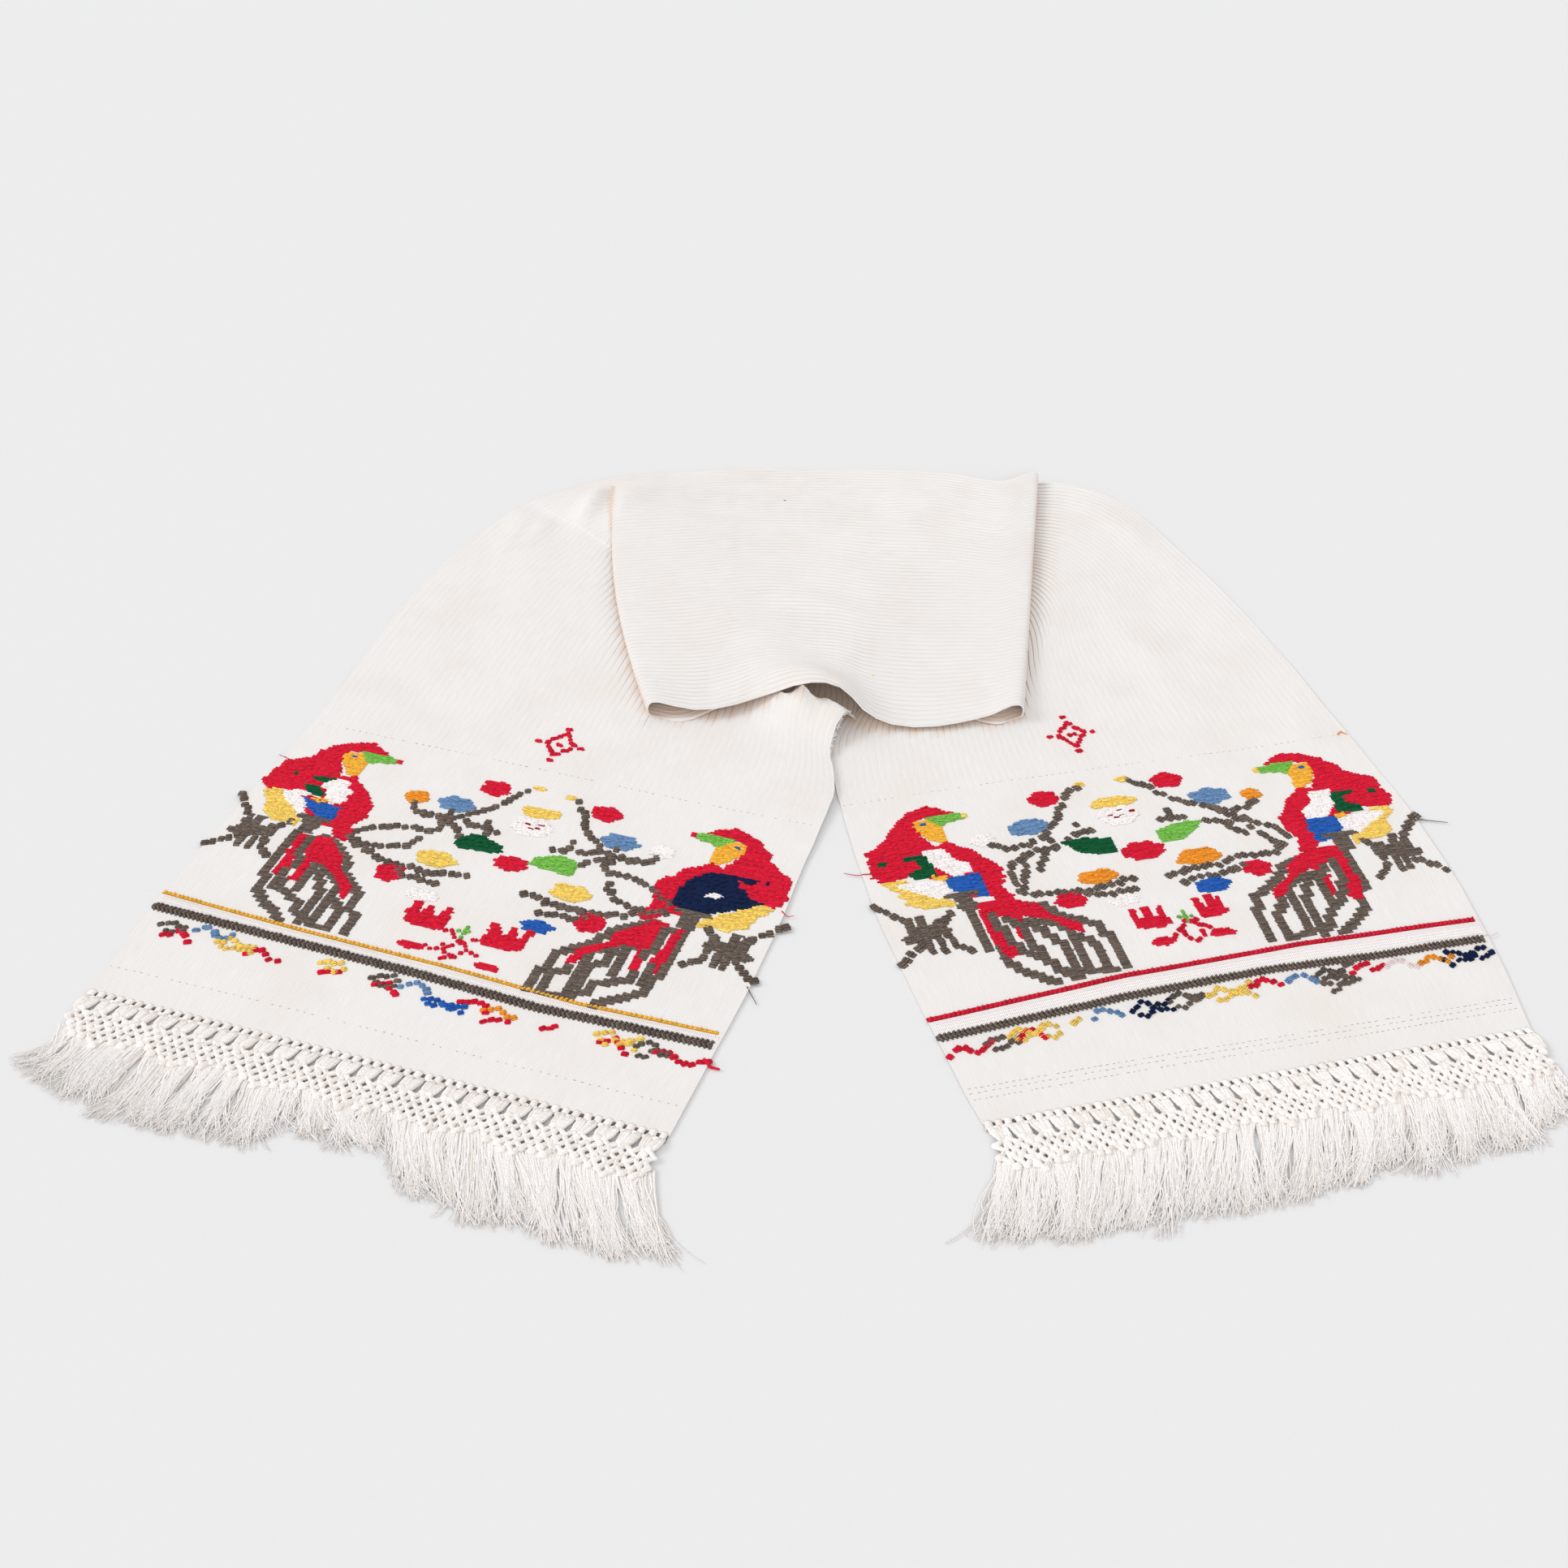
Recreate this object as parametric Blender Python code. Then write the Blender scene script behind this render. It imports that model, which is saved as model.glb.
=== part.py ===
"""Embroidered towel, laid out in a horseshoe with its middle turned over as one wide box pleat.

Metres, +Z up. The origin is on the floor under the middle of the whole towel. +X runs from the left
end to the right end, and both fringed ends point to -Y.

The cloth is one smooth sheet over a net of control points. Each row of the net lies across the towel,
from the outer selvedge of the horseshoe to the inner one, and the rows follow each other from the left
hem over the folds to the right hem. Each fringe is a flat net of tied bundles with its loose locks.
"""

import math
import random

import bpy
import numpy as np

MM = 0.001

# Driving sizes
CLOTH_THICK = 1.4 * MM
FOLD_REACH = 9.0 * MM             # how far a fold's lips run before they turn
ROW_CUTS = 2                      # mesh rows in each span of the net
COLUMN_CUTS = 16                  # mesh columns across the towel

# The middle of the whole towel, in the millimetres of the tables below
TABLE_CENTRE = (3.3, 0.2)

# The five places across the towel at which a row of the net has control points
PLACES = (0.0, 1 / 6, 1 / 2, 5 / 6, 1.0)

# Rows of the net, millimetres. bulge: how far the row's middle stands off its chord, to the left of
# the way from the outer to the inner selvedge. heights: of the cloth at the five places, over the
# height at which it lies on the floor.
# name, outer x, outer y, inner x, inner y, bulge, heights
LEFT_ARM = (
    ("hem", -453, -217, -68, -338, 0, (0, 0, 0, 0, 0)),
    ("stripes", -432, -135, -41, -267, 0, (0, 0, 0, 0, 0)),
    ("birds", -397, -36, -2, -163, 0, (0, 0, 0, 0, 0)),
    ("seam", -357, 63, 25, -59, 0, (0, 0, 0, 0, 1)),
    ("turn 1", -338, 139, 38, -30, 6, (0, 0, 0, 0.5, 3.5)),
    ("turn 2", -312, 228, 39, -5, 14, (0, 0, 0, 1, 4.5)),
    ("turn 3", -281, 297, 33, 24, 20, (0, 0, 0, 1.2, 4)),
    ("turn 4", -262, 331, 40, 47, 12, (0, 0, 0, 1.2, 3.5)),
    ("ridge", -249, 352, 55, 66, 4, (0, 0, 0, 1.2, 2.8)),
    ("behind ridge", -242, 361, 58, 84, 0, (0, 0, 0, 1.2, 2.8)),
    ("before the tuck", -235, 369, 54, 103, 0, (0, 0.1, 0, 1.2, 2.8)),
)
PANEL = (
    ("panel 1", -106, 424, -73, 68, 0, (2, 7, 9, 9.5, 9)),
    ("panel 2", -75, 429, -50, 68, 0, (1, 5, 9, 10, 9)),
    ("panel 3", -45, 432, -26, 77, 0, (0.5, 4, 8.5, 10.5, 11)),
    ("arch foot", -15, 433, -2, 78, 0, (0.5, 3, 8.5, 10.5, 10)),
    ("arch 1", 10, 433, 18, 75, 0, (0.5, 3, 8, 10.5, 10)),
    ("arch 2", 30, 433, 36, 72, 0, (0.5, 3, 8, 11, 16)),
    ("arch 3", 50, 433, 49, 68, 0, (0.5, 3, 8, 11, 17)),
    ("arch end", 70, 432, 57, 60, 0, (0.5, 3, 7.5, 11, 12.5)),
    ("panel 4", 90, 431, 68, 57, 0, (0.5, 3, 7.5, 9.5, 6.5)),
    ("panel 5", 112, 430, 86, 55, 0, (0.5, 3, 7.5, 9, 4)),
    ("panel 6", 136, 428, 112, 53, 0, (1, 3.5, 7.5, 9, 3.6)),
    ("panel 7", 166, 420, 140, 60, 0, (2, 5, 8, 9, 5)),
    ("panel 8", 197, 396, 162, 65, 0, (6, 8, 9, 9, 8)),
)
RIGHT_ARM = (
    ("turn 5", 280, 388, 54, 84, 60, (0, 0, 0, 0, 0)),
    ("turn 4", 310, 353, 42, 60, 50, (0, 0, 0, 0, 0)),
    ("turn 3", 338, 301, 34, 40, 40, (0, 0, 0, 0, 0)),
    ("turn 2", 366, 245, 35, 20, 27, (0, 0, 0, 0, 0)),
    ("turn 1", 400, 150, 38, -8, 13, (0, 0, 0, 0, 0)),
    ("seam", 426, 50, 42, -35, 0, (0, 0, 0, 0, 0)),
    ("birds", 462, -50, 62, -150, 0, (0, 0, 0, 0, 0)),
    ("stripes", 476, -168, 97, -258, 0, (0, 0, 0, 0, 0)),
    ("hem", 479, -251, 122, -329, 0, (0, 0, 0, 0, 0)),
)

# Folds, millimetres. side: +1 where the folded cloth lies to the left of the way from the outer to
# the inner selvedge, -1 to its right. gather: 1 where the layers lie on each other at the five
# places, -1 where the cloth runs on flat. first, last: heights before and after the fold.
# name, outer x, outer y, inner x, inner y, bulge, side, gather, first, last
FOLDS = {
    "left tuck": (-224, 379, 47, 123, 0, -1, (-1, -0.4, 0.8, 1, 1),
                  (0, 0.2, 0, 1.2, 2.5), (0.6, 0.8, 4, 5.4, 6.2)),
    "left edge": (-148, 414, -103, 70, -16, 1, (-1, -0.4, 0.8, 1, 1),
                  (2.4, 6, 6, 3.8, 3.2), (3, 8.4, 9, 9, 10)),
    "right edge": (229, 413, 184, 68, 0, -1, (-1, -0.8, 0.1, 1, 1),
                   (7, 7.5, 7.6, 3.8, 3), (11, 10, 11, 9, 10)),
    "right tuck": (246, 408, 62, 106, 54, 1, (-1, -0.8, 0.1, 1, 1),
                   (0, 0, 0, 0, 0), (2, 1, 3.2, 3.2, 3)),
}

# Rows of the two hidden layers under the panel. share: way from one fold to the other. inner: where
# the hidden selvedge passes. name, share, inner x, inner y, heights
LEFT_UNDER = (
    ("left under 1", 0.22, 8, 106, (1, 1.9, 4.4, 5.8, 6.5)),
    ("left under 2", 0.50, -44, 84, (1.5, 3.4, 5, 5.2, 5.4)),
    ("left under 3", 0.78, -76, 57, (2, 4.9, 5.6, 4, 2.8)),
)
RIGHT_UNDER = (
    ("right under 1", 0.25, 163, 54, (6, 5.9, 6.5, 3.7, 2.6)),
    ("right under 2", 0.65, 122, 80, (4, 3.3, 4.7, 3.6, 3.4)),
)

# Soft rises that lift all layers from the left hem to the panel's right edge together, millimetres.
# angle: of the rise's crest, degrees from +X. name, x, y, angle, half length, half width, height
RISES = (
    ("ridge under the arch", 18, 84, 140, 45, 25, 20),
    ("crease from the arch", -10, 150, 128, 80, 20, 4),
    ("pocket at the shoulder", -152, 362, 80, 34, 40, 3),
    ("wrinkle on the panel", 112, 368, 105, 45, 12, 3),
)

# Heading and fringe of one end
BUNDLES = 28                      # tied bundles, each with one long opening and two locks
BUNDLE_CUTS = (0.0, 0.15, 0.5, 0.65)  # where a bundle's two locks begin and end, as shares of it
HEADER_GAP = 0.3 * MM
HEADER_DEPTH = 6.0 * MM
OPENING_DEPTH = 16.5 * MM
KNOT_DEPTH = 25.0 * MM
NOTCH_DEPTH = 34.0 * MM           # where the knotted band ends between two of its points
POINT_DEPTH = 42.0 * MM
POINTS_PER_END = 7
LOCK_CUTS = 3
LOCK_TIP_SHARE = 0.4              # a lock's width at its tip, as a share of its root
LOCK_SWAY = 1.4 * MM
SWAY_TURNS = 23.0                 # radians of the sway's wave along the hem
TIP_JITTER = 1.0 * MM
LENGTH_JITTER = (-5.0 * MM, 3.0 * MM)
LEFT_SEED = 11
RIGHT_SEED = 12
KNOTS_PER_ROW = 11
KNOT_STAGGER = (0.25, 0.75)       # where the two rows' knots sit, as shares of the knots' pitch

# Heights above the floor
BAND_HEIGHT = 2.0 * MM
KNOT_HEIGHT = 4.0 * MM
LOCK_HEIGHT = 2.4 * MM
TIP_HEIGHT = 1.2 * MM

# Where the locks end, millimetres. along: from the hem's outer corner. depth: below the hem.
# root share of the hem, along, depth
LEFT_TIPS = (
    (0.00, -12, 66),
    (0.10, 33, 86),
    (0.20, 78, 92),
    (0.30, 122, 88),
    (0.40, 168, 85),
    (0.50, 212, 86),
    (0.55, 237, 62),
    (0.60, 262, 84),
    (0.75, 330, 96),
    (0.90, 396, 95),
    (1.00, 438, 88),
)
RIGHT_TIPS = (
    (0.00, 2, 64),
    (0.10, 44, 88),
    (0.20, 88, 86),
    (0.35, 152, 88),
    (0.50, 208, 92),
    (0.65, 262, 96),
    (0.80, 316, 94),
    (0.90, 350, 90),
    (1.00, 389, 86),
)

CLOTH_COLOUR = (0.86, 0.84, 0.80, 1.0)
CLOTH_ROUGHNESS = 0.9
YARN_COLOUR = (0.84, 0.81, 0.77, 1.0)
YARN_ROUGHNESS = 0.95


def clear_scene():
    for obj in list(bpy.data.objects):
        bpy.data.objects.remove(obj, do_unlink=True)


def cotton(name, colour, roughness):
    material = bpy.data.materials.new(name)
    material.use_nodes = True
    shader = material.node_tree.nodes["Principled BSDF"]
    shader.inputs["Base Color"].default_value = colour
    shader.inputs["Roughness"].default_value = roughness
    shader.inputs["Metallic"].default_value = 0.0
    return material


def across(outer, inner, bulge):
    """Plan points of one row at the five places: a parabola over the chord from outer to inner."""
    outer = np.array(outer, float)
    inner = np.array(inner, float)
    place = np.array(PLACES)[:, None]
    return outer + (inner - outer) * place + left_of(outer, inner) * bulge * 4 * place * (1 - place)


def left_of(start, end):
    way = np.array(end, float) - np.array(start, float)
    return np.array((-way[1], way[0])) / np.hypot(*way)


def flat_row(row):
    """Control points of a row without a fold."""
    _, outer_x, outer_y, inner_x, inner_y, bulge, heights = row
    plan = across((outer_x, outer_y), (inner_x, inner_y), bulge)
    return np.column_stack((plan * MM, heights_at(heights)))


def heights_at(heights):
    return np.array(heights) * MM + CLOTH_THICK / 2


def fold_rows(name, comes_from_below):
    """Four rows that carry the cloth round a fold: a lip, two rows on the fold's line, a lip.

    The lip on the side of the hidden layer turns back under or over the other only where the
    layers are gathered, and runs on where the cloth lies flat.
    """
    outer_x, outer_y, inner_x, inner_y, bulge, side, gather, first, last = FOLDS[name]
    outer, inner = (outer_x, outer_y), (inner_x, inner_y)
    line = across(outer, inner, bulge) * MM
    into_fold = left_of(outer, inner) * side * FOLD_REACH
    open_lip = line + into_fold
    hidden_lip = line + into_fold * np.array(gather)[:, None]
    lips = (open_lip, hidden_lip) if comes_from_below else (hidden_lip, open_lip)
    first, last = heights_at(first), heights_at(last)
    rows = (lips[0], first), (line, first), (line, last), (lips[1], last)
    return [np.column_stack(row) for row in rows]


def under_rows(table, first_lip, last_lip):
    """Rows of a hidden layer: they pass from one fold's lip to the other's, and their inner ends
    are drawn to the hidden selvedge."""
    rows = []
    for _, share, inner_x, inner_y, heights in table:
        plan = first_lip[:, :2] * (1 - share) + last_lip[:, :2] * share
        pull = np.array((inner_x, inner_y)) * MM - plan[-1]
        plan = plan + pull * np.array(PLACES)[:, None] ** 3
        rows.append(np.column_stack((plan, heights_at(heights))))
    return rows


def control_net():
    """Control points of the whole cloth, and the number of rows up to the panel's right edge."""
    left_tuck = fold_rows("left tuck", True)
    left_edge = fold_rows("left edge", False)
    right_edge = fold_rows("right edge", False)[::-1]
    right_tuck = fold_rows("right tuck", True)[::-1]
    rows = [flat_row(row) for row in LEFT_ARM]
    rows += left_tuck
    rows += under_rows(LEFT_UNDER, left_tuck[-1], left_edge[0])
    rows += left_edge
    rows += [flat_row(row) for row in PANEL]
    lifted = len(rows)
    rows += right_edge
    rows += under_rows(RIGHT_UNDER, right_edge[-1], right_tuck[0])
    rows += right_tuck
    rows += [flat_row(row) for row in RIGHT_ARM]
    return np.array(rows), lifted


def rise_at(points):
    """Sum of the soft rises under each point: a Gaussian along and across each crest."""
    total = np.zeros(points.shape[:-1])
    for _, x, y, angle, half_length, half_width, height in RISES:
        turn = math.radians(angle)
        away = points[..., :2] - np.array((x, y)) * MM
        along = away @ np.array((math.cos(turn), math.sin(turn))) / (half_length * MM)
        over = away @ np.array((-math.sin(turn), math.cos(turn))) / (half_width * MM)
        total += height * MM * np.exp(-along ** 2 - over ** 2)
    return total


def spline_weights(count, degree, samples):
    """Weight of each of count control points at each sample, for a clamped uniform B-spline."""
    spans = count - degree
    knots = np.concatenate((np.zeros(degree), np.arange(spans + 1), np.full(degree, spans)))
    at = np.clip(np.asarray(samples, float) * spans, 0, spans - 1e-9)[:, None]
    weights = ((knots[:-1] <= at) & (at < knots[1:])).astype(float)
    for power in range(1, degree + 1):
        first, last = knots[:-power - 1], knots[power + 1:]
        rise = np.where(knots[power:-1] > first, knots[power:-1] - first, 1)
        fall = np.where(last > knots[1:-power], last - knots[1:-power], 1)
        weights = weights[:, :-1] * (at - first) / rise + weights[:, 1:] * (last - at) / fall
    return weights


def cloth_surface(row_cuts, columns):
    """Points of the middle of the cloth, row by row from the left hem to the right one."""
    net, lifted = control_net()
    samples = (len(net) - 3) * row_cuts + 1
    along = spline_weights(len(net), 3, np.linspace(0, 1, samples))
    over = spline_weights(len(PLACES), 2, np.linspace(0, 1, columns))
    points = np.einsum("ri,cj,ijk->rck", along, over, net)
    share_lifted = along[:, :lifted].sum(axis=1)
    points[..., 2] += rise_at(points) * share_lifted[:, None]
    return points


def grid_faces(rows, columns):
    first = np.arange((rows - 1) * columns).reshape(rows - 1, columns)[:, :-1]
    return np.stack((first, first + columns, first + columns + 1, first + 1), axis=-1).reshape(-1, 4)


def new_object(name, vertices, faces, material):
    mesh = bpy.data.meshes.new(name)
    mesh.from_pydata([tuple(v) for v in vertices], [], [tuple(f) for f in faces])
    mesh.materials.append(material)
    obj = bpy.data.objects.new(name, mesh)
    obj.location = (-TABLE_CENTRE[0] * MM, -TABLE_CENTRE[1] * MM, 0.0)
    bpy.context.scene.collection.objects.link(obj)
    return obj


def thicken(obj, thickness, offset, group=""):
    solid = obj.modifiers.new("thickness", "SOLIDIFY")
    solid.thickness = thickness
    solid.offset = offset
    solid.use_even_offset = False
    solid.vertex_group = group


def build_cloth(material):
    points = cloth_surface(ROW_CUTS, COLUMN_CUTS + 1)
    cloth = new_object("cloth", points.reshape(-1, 3), grid_faces(*points.shape[:2]), material)
    thicken(cloth, CLOTH_THICK, 0)
    return cloth


def band_depth(share):
    """Depth of the knotted band's lower edge, which is a zigzag."""
    phase = share * POINTS_PER_END % 1
    return NOTCH_DEPTH + (POINT_DEPTH - NOTCH_DEPTH) * (1 - abs(2 * phase - 1))


class Fringe:
    """Flat net of one end, with each vertex's height. Distances are from the hem's outer corner."""

    def __init__(self, outer, inner, tips, seed):
        self.outer = np.array(outer, float) * MM
        self.inner = np.array(inner, float) * MM
        self.width = np.hypot(*(self.inner - self.outer))
        self.along = (self.inner - self.outer) / self.width
        down = left_of(self.outer, self.inner)
        self.down = down if down[1] < 0 else -down
        self.tips = np.array(tips, float)
        self.random = random.Random(seed)
        self.vertices = []
        self.heights = []
        self.faces = []

    def add_vertex(self, along, depth, height):
        self.vertices.append(tuple(self.outer + self.along * along + self.down * depth) + (0.0,))
        self.heights.append(height)
        return len(self.vertices) - 1

    def tip(self, share):
        root, along, depth = self.tips.T
        return np.interp(share, root, along) * MM, np.interp(share, root, depth) * MM

    def add_band(self):
        """Heading from the strip beside the hem to the zigzag; gives the vertices of its lower edge."""
        shares = [(bundle + cut) / BUNDLES for bundle in range(BUNDLES) for cut in BUNDLE_CUTS]
        shares.append(1.0)
        rows = []
        for depth in (HEADER_GAP, HEADER_DEPTH, OPENING_DEPTH, KNOT_DEPTH):
            rows.append([self.add_vertex(s * self.width, depth, BAND_HEIGHT) for s in shares])
        rows.append([self.add_vertex(s * self.width, band_depth(s), BAND_HEIGHT) for s in shares])
        for row in range(len(rows) - 1):
            for column in range(len(shares) - 1):
                is_opening = row == 1 and column % len(BUNDLE_CUTS) == 1
                if not is_opening:
                    self.faces.append((rows[row][column], rows[row][column + 1],
                                       rows[row + 1][column + 1], rows[row + 1][column]))
        self.tie_knots(rows[2], rows[3], len(shares))
        return rows[-1], shares

    def tie_knots(self, upper, lower, columns):
        """Raises the knots of two staggered rows."""
        step = (columns - 1) / KNOTS_PER_ROW
        for row, stagger in zip((upper, lower), KNOT_STAGGER):
            for knot in range(KNOTS_PER_ROW):
                self.heights[row[round((knot + stagger) * step)]] = KNOT_HEIGHT

    def add_lock(self, root_left, root_right, share_left, share_right):
        """One lock from the lower edge to its tip, bent a little sideways on the way."""
        middle = (share_left + share_right) / 2
        start, start_depth = middle * self.width, band_depth(middle)
        end, end_depth = self.tip(middle)
        end += self.random.uniform(-TIP_JITTER, TIP_JITTER)
        end_depth += self.random.uniform(*LENGTH_JITTER)
        sway = LOCK_SWAY * math.sin(middle * SWAY_TURNS)
        half = (share_right - share_left) * self.width / 2
        before = (root_left, root_right)
        for cut in range(1, LOCK_CUTS + 1):
            part = cut / LOCK_CUTS
            centre = start + (end - start) * part + sway * math.sin(math.pi * part)
            depth = start_depth + (end_depth - start_depth) * part
            wide = half * (1 - (1 - LOCK_TIP_SHARE) * part)
            height = TIP_HEIGHT if cut == LOCK_CUTS else LOCK_HEIGHT
            now = [self.add_vertex(centre + side * wide, depth, height) for side in (-1, 1)]
            self.faces.append((before[0], before[1], now[1], now[0]))
            before = now

    def build(self, name, material):
        edge, shares = self.add_band()
        for column in range(1, len(edge) - 1, 2):
            self.add_lock(edge[column], edge[column + 1], shares[column], shares[column + 1])
        obj = new_object(name, self.vertices, self.faces, material)
        group = obj.vertex_groups.new(name="height")
        for index, height in enumerate(self.heights):
            group.add([index], height / KNOT_HEIGHT, "REPLACE")
        self.face_up(obj.data)
        thicken(obj, KNOT_HEIGHT, 1, "height")
        return obj

    def face_up(self, mesh):
        if mesh.polygons[0].normal.z < 0:
            mesh.flip_normals()


def hem_ends(arm_row):
    _, outer_x, outer_y, inner_x, inner_y, _, _ = arm_row
    return (outer_x, outer_y), (inner_x, inner_y)


def main():
    clear_scene()
    build_cloth(cotton("ribbed cotton", CLOTH_COLOUR, CLOTH_ROUGHNESS))
    yarn = cotton("fringe cotton", YARN_COLOUR, YARN_ROUGHNESS)
    Fringe(*hem_ends(LEFT_ARM[0]), LEFT_TIPS, LEFT_SEED).build("fringe_left", yarn)
    Fringe(*hem_ends(RIGHT_ARM[-1]), RIGHT_TIPS, RIGHT_SEED).build("fringe_right", yarn)


main()
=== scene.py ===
"""Embroidered towel: cloth, stitching, knotted headings and fringes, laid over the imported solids.

Metres, +Z up, in the same frame as the solids. Tables are in millimetres, as their comments say.
"""

from math import cos, pi, radians, sin

import bpy
import numpy as np
from bpy.props import FloatProperty, FloatVectorProperty, IntProperty, PointerProperty
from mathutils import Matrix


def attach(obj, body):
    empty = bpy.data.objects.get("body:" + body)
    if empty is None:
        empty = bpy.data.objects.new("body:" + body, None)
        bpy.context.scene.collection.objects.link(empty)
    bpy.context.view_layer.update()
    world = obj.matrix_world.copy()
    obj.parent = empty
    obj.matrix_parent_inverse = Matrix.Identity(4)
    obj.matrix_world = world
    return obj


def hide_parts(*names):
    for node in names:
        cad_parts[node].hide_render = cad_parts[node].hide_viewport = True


bl_info = {
    "name": "Embroidered towel",
    "version": (1, 0, 0),
    "blender": (4, 5, 0),
    "location": "View3D > Sidebar > Towel",
    "description": "Folded cotton towel with embroidered ends, knotted headings and fringes",
    "category": "Object",
}

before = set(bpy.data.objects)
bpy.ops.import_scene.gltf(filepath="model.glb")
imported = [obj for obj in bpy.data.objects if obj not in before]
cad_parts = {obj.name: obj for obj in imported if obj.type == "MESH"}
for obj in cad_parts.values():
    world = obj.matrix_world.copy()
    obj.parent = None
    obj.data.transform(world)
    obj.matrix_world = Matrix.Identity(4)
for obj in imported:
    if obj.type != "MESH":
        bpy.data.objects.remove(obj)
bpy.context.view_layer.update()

MM = 0.001
CLOTH_WIDTH = 0.400  # from selvedge to selvedge
FLOOR_DROP = 0.3 * MM  # the floor's surface lies this far under the cloth

# The folded cloth

FOLD_REACH = 9.0 * MM  # how far a fold's lips run before they turn
TABLE_CENTRE = np.array((3.3, 0.2, 0.0)) * MM  # the origin, in the frame of the tables below
PLACES = (0.0, 1 / 6, 1 / 2, 5 / 6, 1.0)  # where a row of the net has points across the cloth
CLOTH_ROWS = 150  # rows of the mesh, besides those next to the hems
RIB_COLUMNS = 4  # columns of the mesh in one rib
ROW_WAY = 0.012  # metres of way and radians of turn that call for as many rows
ROW_TURN = 0.22
RIB_FADE = 8.0 * MM  # way over which the ribs rise past the plain bands
RIB_RELIEF = ((0, 0.3, 0.42), (0.3, 0.5, 1.8))  # metres past the band, share of the ribs' height
FRAY_DEPTH = 0.35 * MM  # wander of the selvedges, and how far it reaches into the cloth
FRAY_REACH = 4.0 * MM
UNEVENNESS = 0.22 * MM
THREAD_PITCH = 1.1 * MM

# Rows of the net from the left hem to the right one, millimetres: outer x and y, inner x and y,
# bulge, heights at the places
FLAT = (0,) * len(PLACES)
LEFT_ARM = (
    (-453, -217, -68, -338, 0, FLAT),
    (-432, -135, -41, -267, 0, FLAT),
    (-397, -36, -2, -163, 0, FLAT),
    (-357, 63, 25, -59, 0, (0, 0, 0, 0, 1)),
    (-338, 139, 38, -30, 6, (0, 0, 0, 0.5, 3.5)),
    (-312, 228, 39, -5, 14, (0, 0, 0, 1, 4.5)),
    (-281, 297, 33, 24, 20, (0, 0, 0, 1.2, 4)),
    (-262, 331, 40, 47, 12, (0, 0, 0, 1.2, 3.5)),
    (-249, 352, 55, 66, 4, (0, 0, 0, 1.2, 2.8)),
    (-242, 361, 58, 84, 0, (0, 0, 0, 1.2, 2.8)),
    (-235, 369, 54, 103, 0, (0, 0.1, 0, 1.2, 2.8)),
)
PANEL = (
    (-106, 424, -73, 68, 0, (2, 7, 9, 9.5, 9)),
    (-75, 429, -50, 68, 0, (1, 5, 9, 10, 9)),
    (-45, 432, -26, 77, 0, (0.5, 4, 8.5, 10.5, 11)),
    (-15, 433, -2, 78, 0, (0.5, 3, 8.5, 10.5, 10)),
    (10, 433, 18, 75, 0, (0.5, 3, 8, 10.5, 10)),
    (30, 433, 36, 72, 0, (0.5, 3, 8, 11, 16)),
    (50, 433, 49, 68, 0, (0.5, 3, 8, 11, 17)),
    (70, 432, 57, 60, 0, (0.5, 3, 7.5, 11, 12.5)),
    (90, 431, 68, 57, 0, (0.5, 3, 7.5, 9.5, 6.5)),
    (112, 430, 86, 55, 0, (0.5, 3, 7.5, 9, 4)),
    (136, 428, 112, 53, 0, (1, 3.5, 7.5, 9, 3.6)),
    (166, 420, 140, 60, 0, (2, 5, 8, 9, 5)),
    (197, 396, 162, 65, 0, (6, 8, 9, 9, 8)),
)
RIGHT_ARM = (
    (263, 411, 54, 84, 60, (3, 3, 2.4, 1, 0.2)),
    (314, 361, 42, 60, 50, (0.8, 0.8, 0.8, 0.4, 0.2)),
    (338, 301, 34, 40, 40, FLAT),
    (366, 245, 35, 20, 27, FLAT),
    (400, 150, 38, -8, 13, FLAT),
    (426, 50, 42, -35, 0, FLAT),
    (462, -50, 62, -150, 0, FLAT),
    (476, -168, 97, -258, 0, FLAT),
    (479, -251, 122, -329, 0, FLAT),
)

# Folds, millimetres: outer x and y, inner x and y, bulge, side, gather, heights before and after
FOLDS = {
    "left tuck": (-224, 379, 47, 123, 0, -1, (-1, -0.4, 0.8, 1, 1),
                  (0, 0.2, 0, 1.2, 2.5), (0.6, 0.8, 4, 5.4, 6.2)),
    "left edge": (-148, 414, -103, 70, -16, 1, (-1, -0.4, 0.8, 1, 1),
                  (2.4, 6, 6, 3.2, 1.4), (3, 8.4, 9, 10, 16)),
    "right edge": (229, 413, 184, 68, 0, -1, (1, 1, 1, 1, 1),
                   (5.8, 6.2, 6.4, 3.4, 1.4), (10.5, 10, 11, 9.6, 15)),
    "right tuck": (215, 412, 62, 106, 54, 1, (1, 1, 1, 1, 1),
                   (1, 1, 1, 0.6, 0), (3.4, 3.4, 3.4, 3.2, 3)),
}

# Rows of the hidden layers: share of the way between the folds, inner x, inner y, heights
LEFT_UNDER = (
    (0.22, 8, 106, (1, 1.9, 4.4, 5.8, 6.5)),
    (0.50, -44, 84, (1.5, 3.4, 5, 5.2, 5.4)),
    (0.78, -76, 57, (2, 4.9, 5.6, 4, 2.8)),
)
RIGHT_UNDER = (
    (0.25, 163, 54, (5.0, 5.2, 5.6, 3.7, 2.6)),
    (0.65, 122, 80, (4.0, 4.0, 4.7, 3.6, 3.4)),
)

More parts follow.
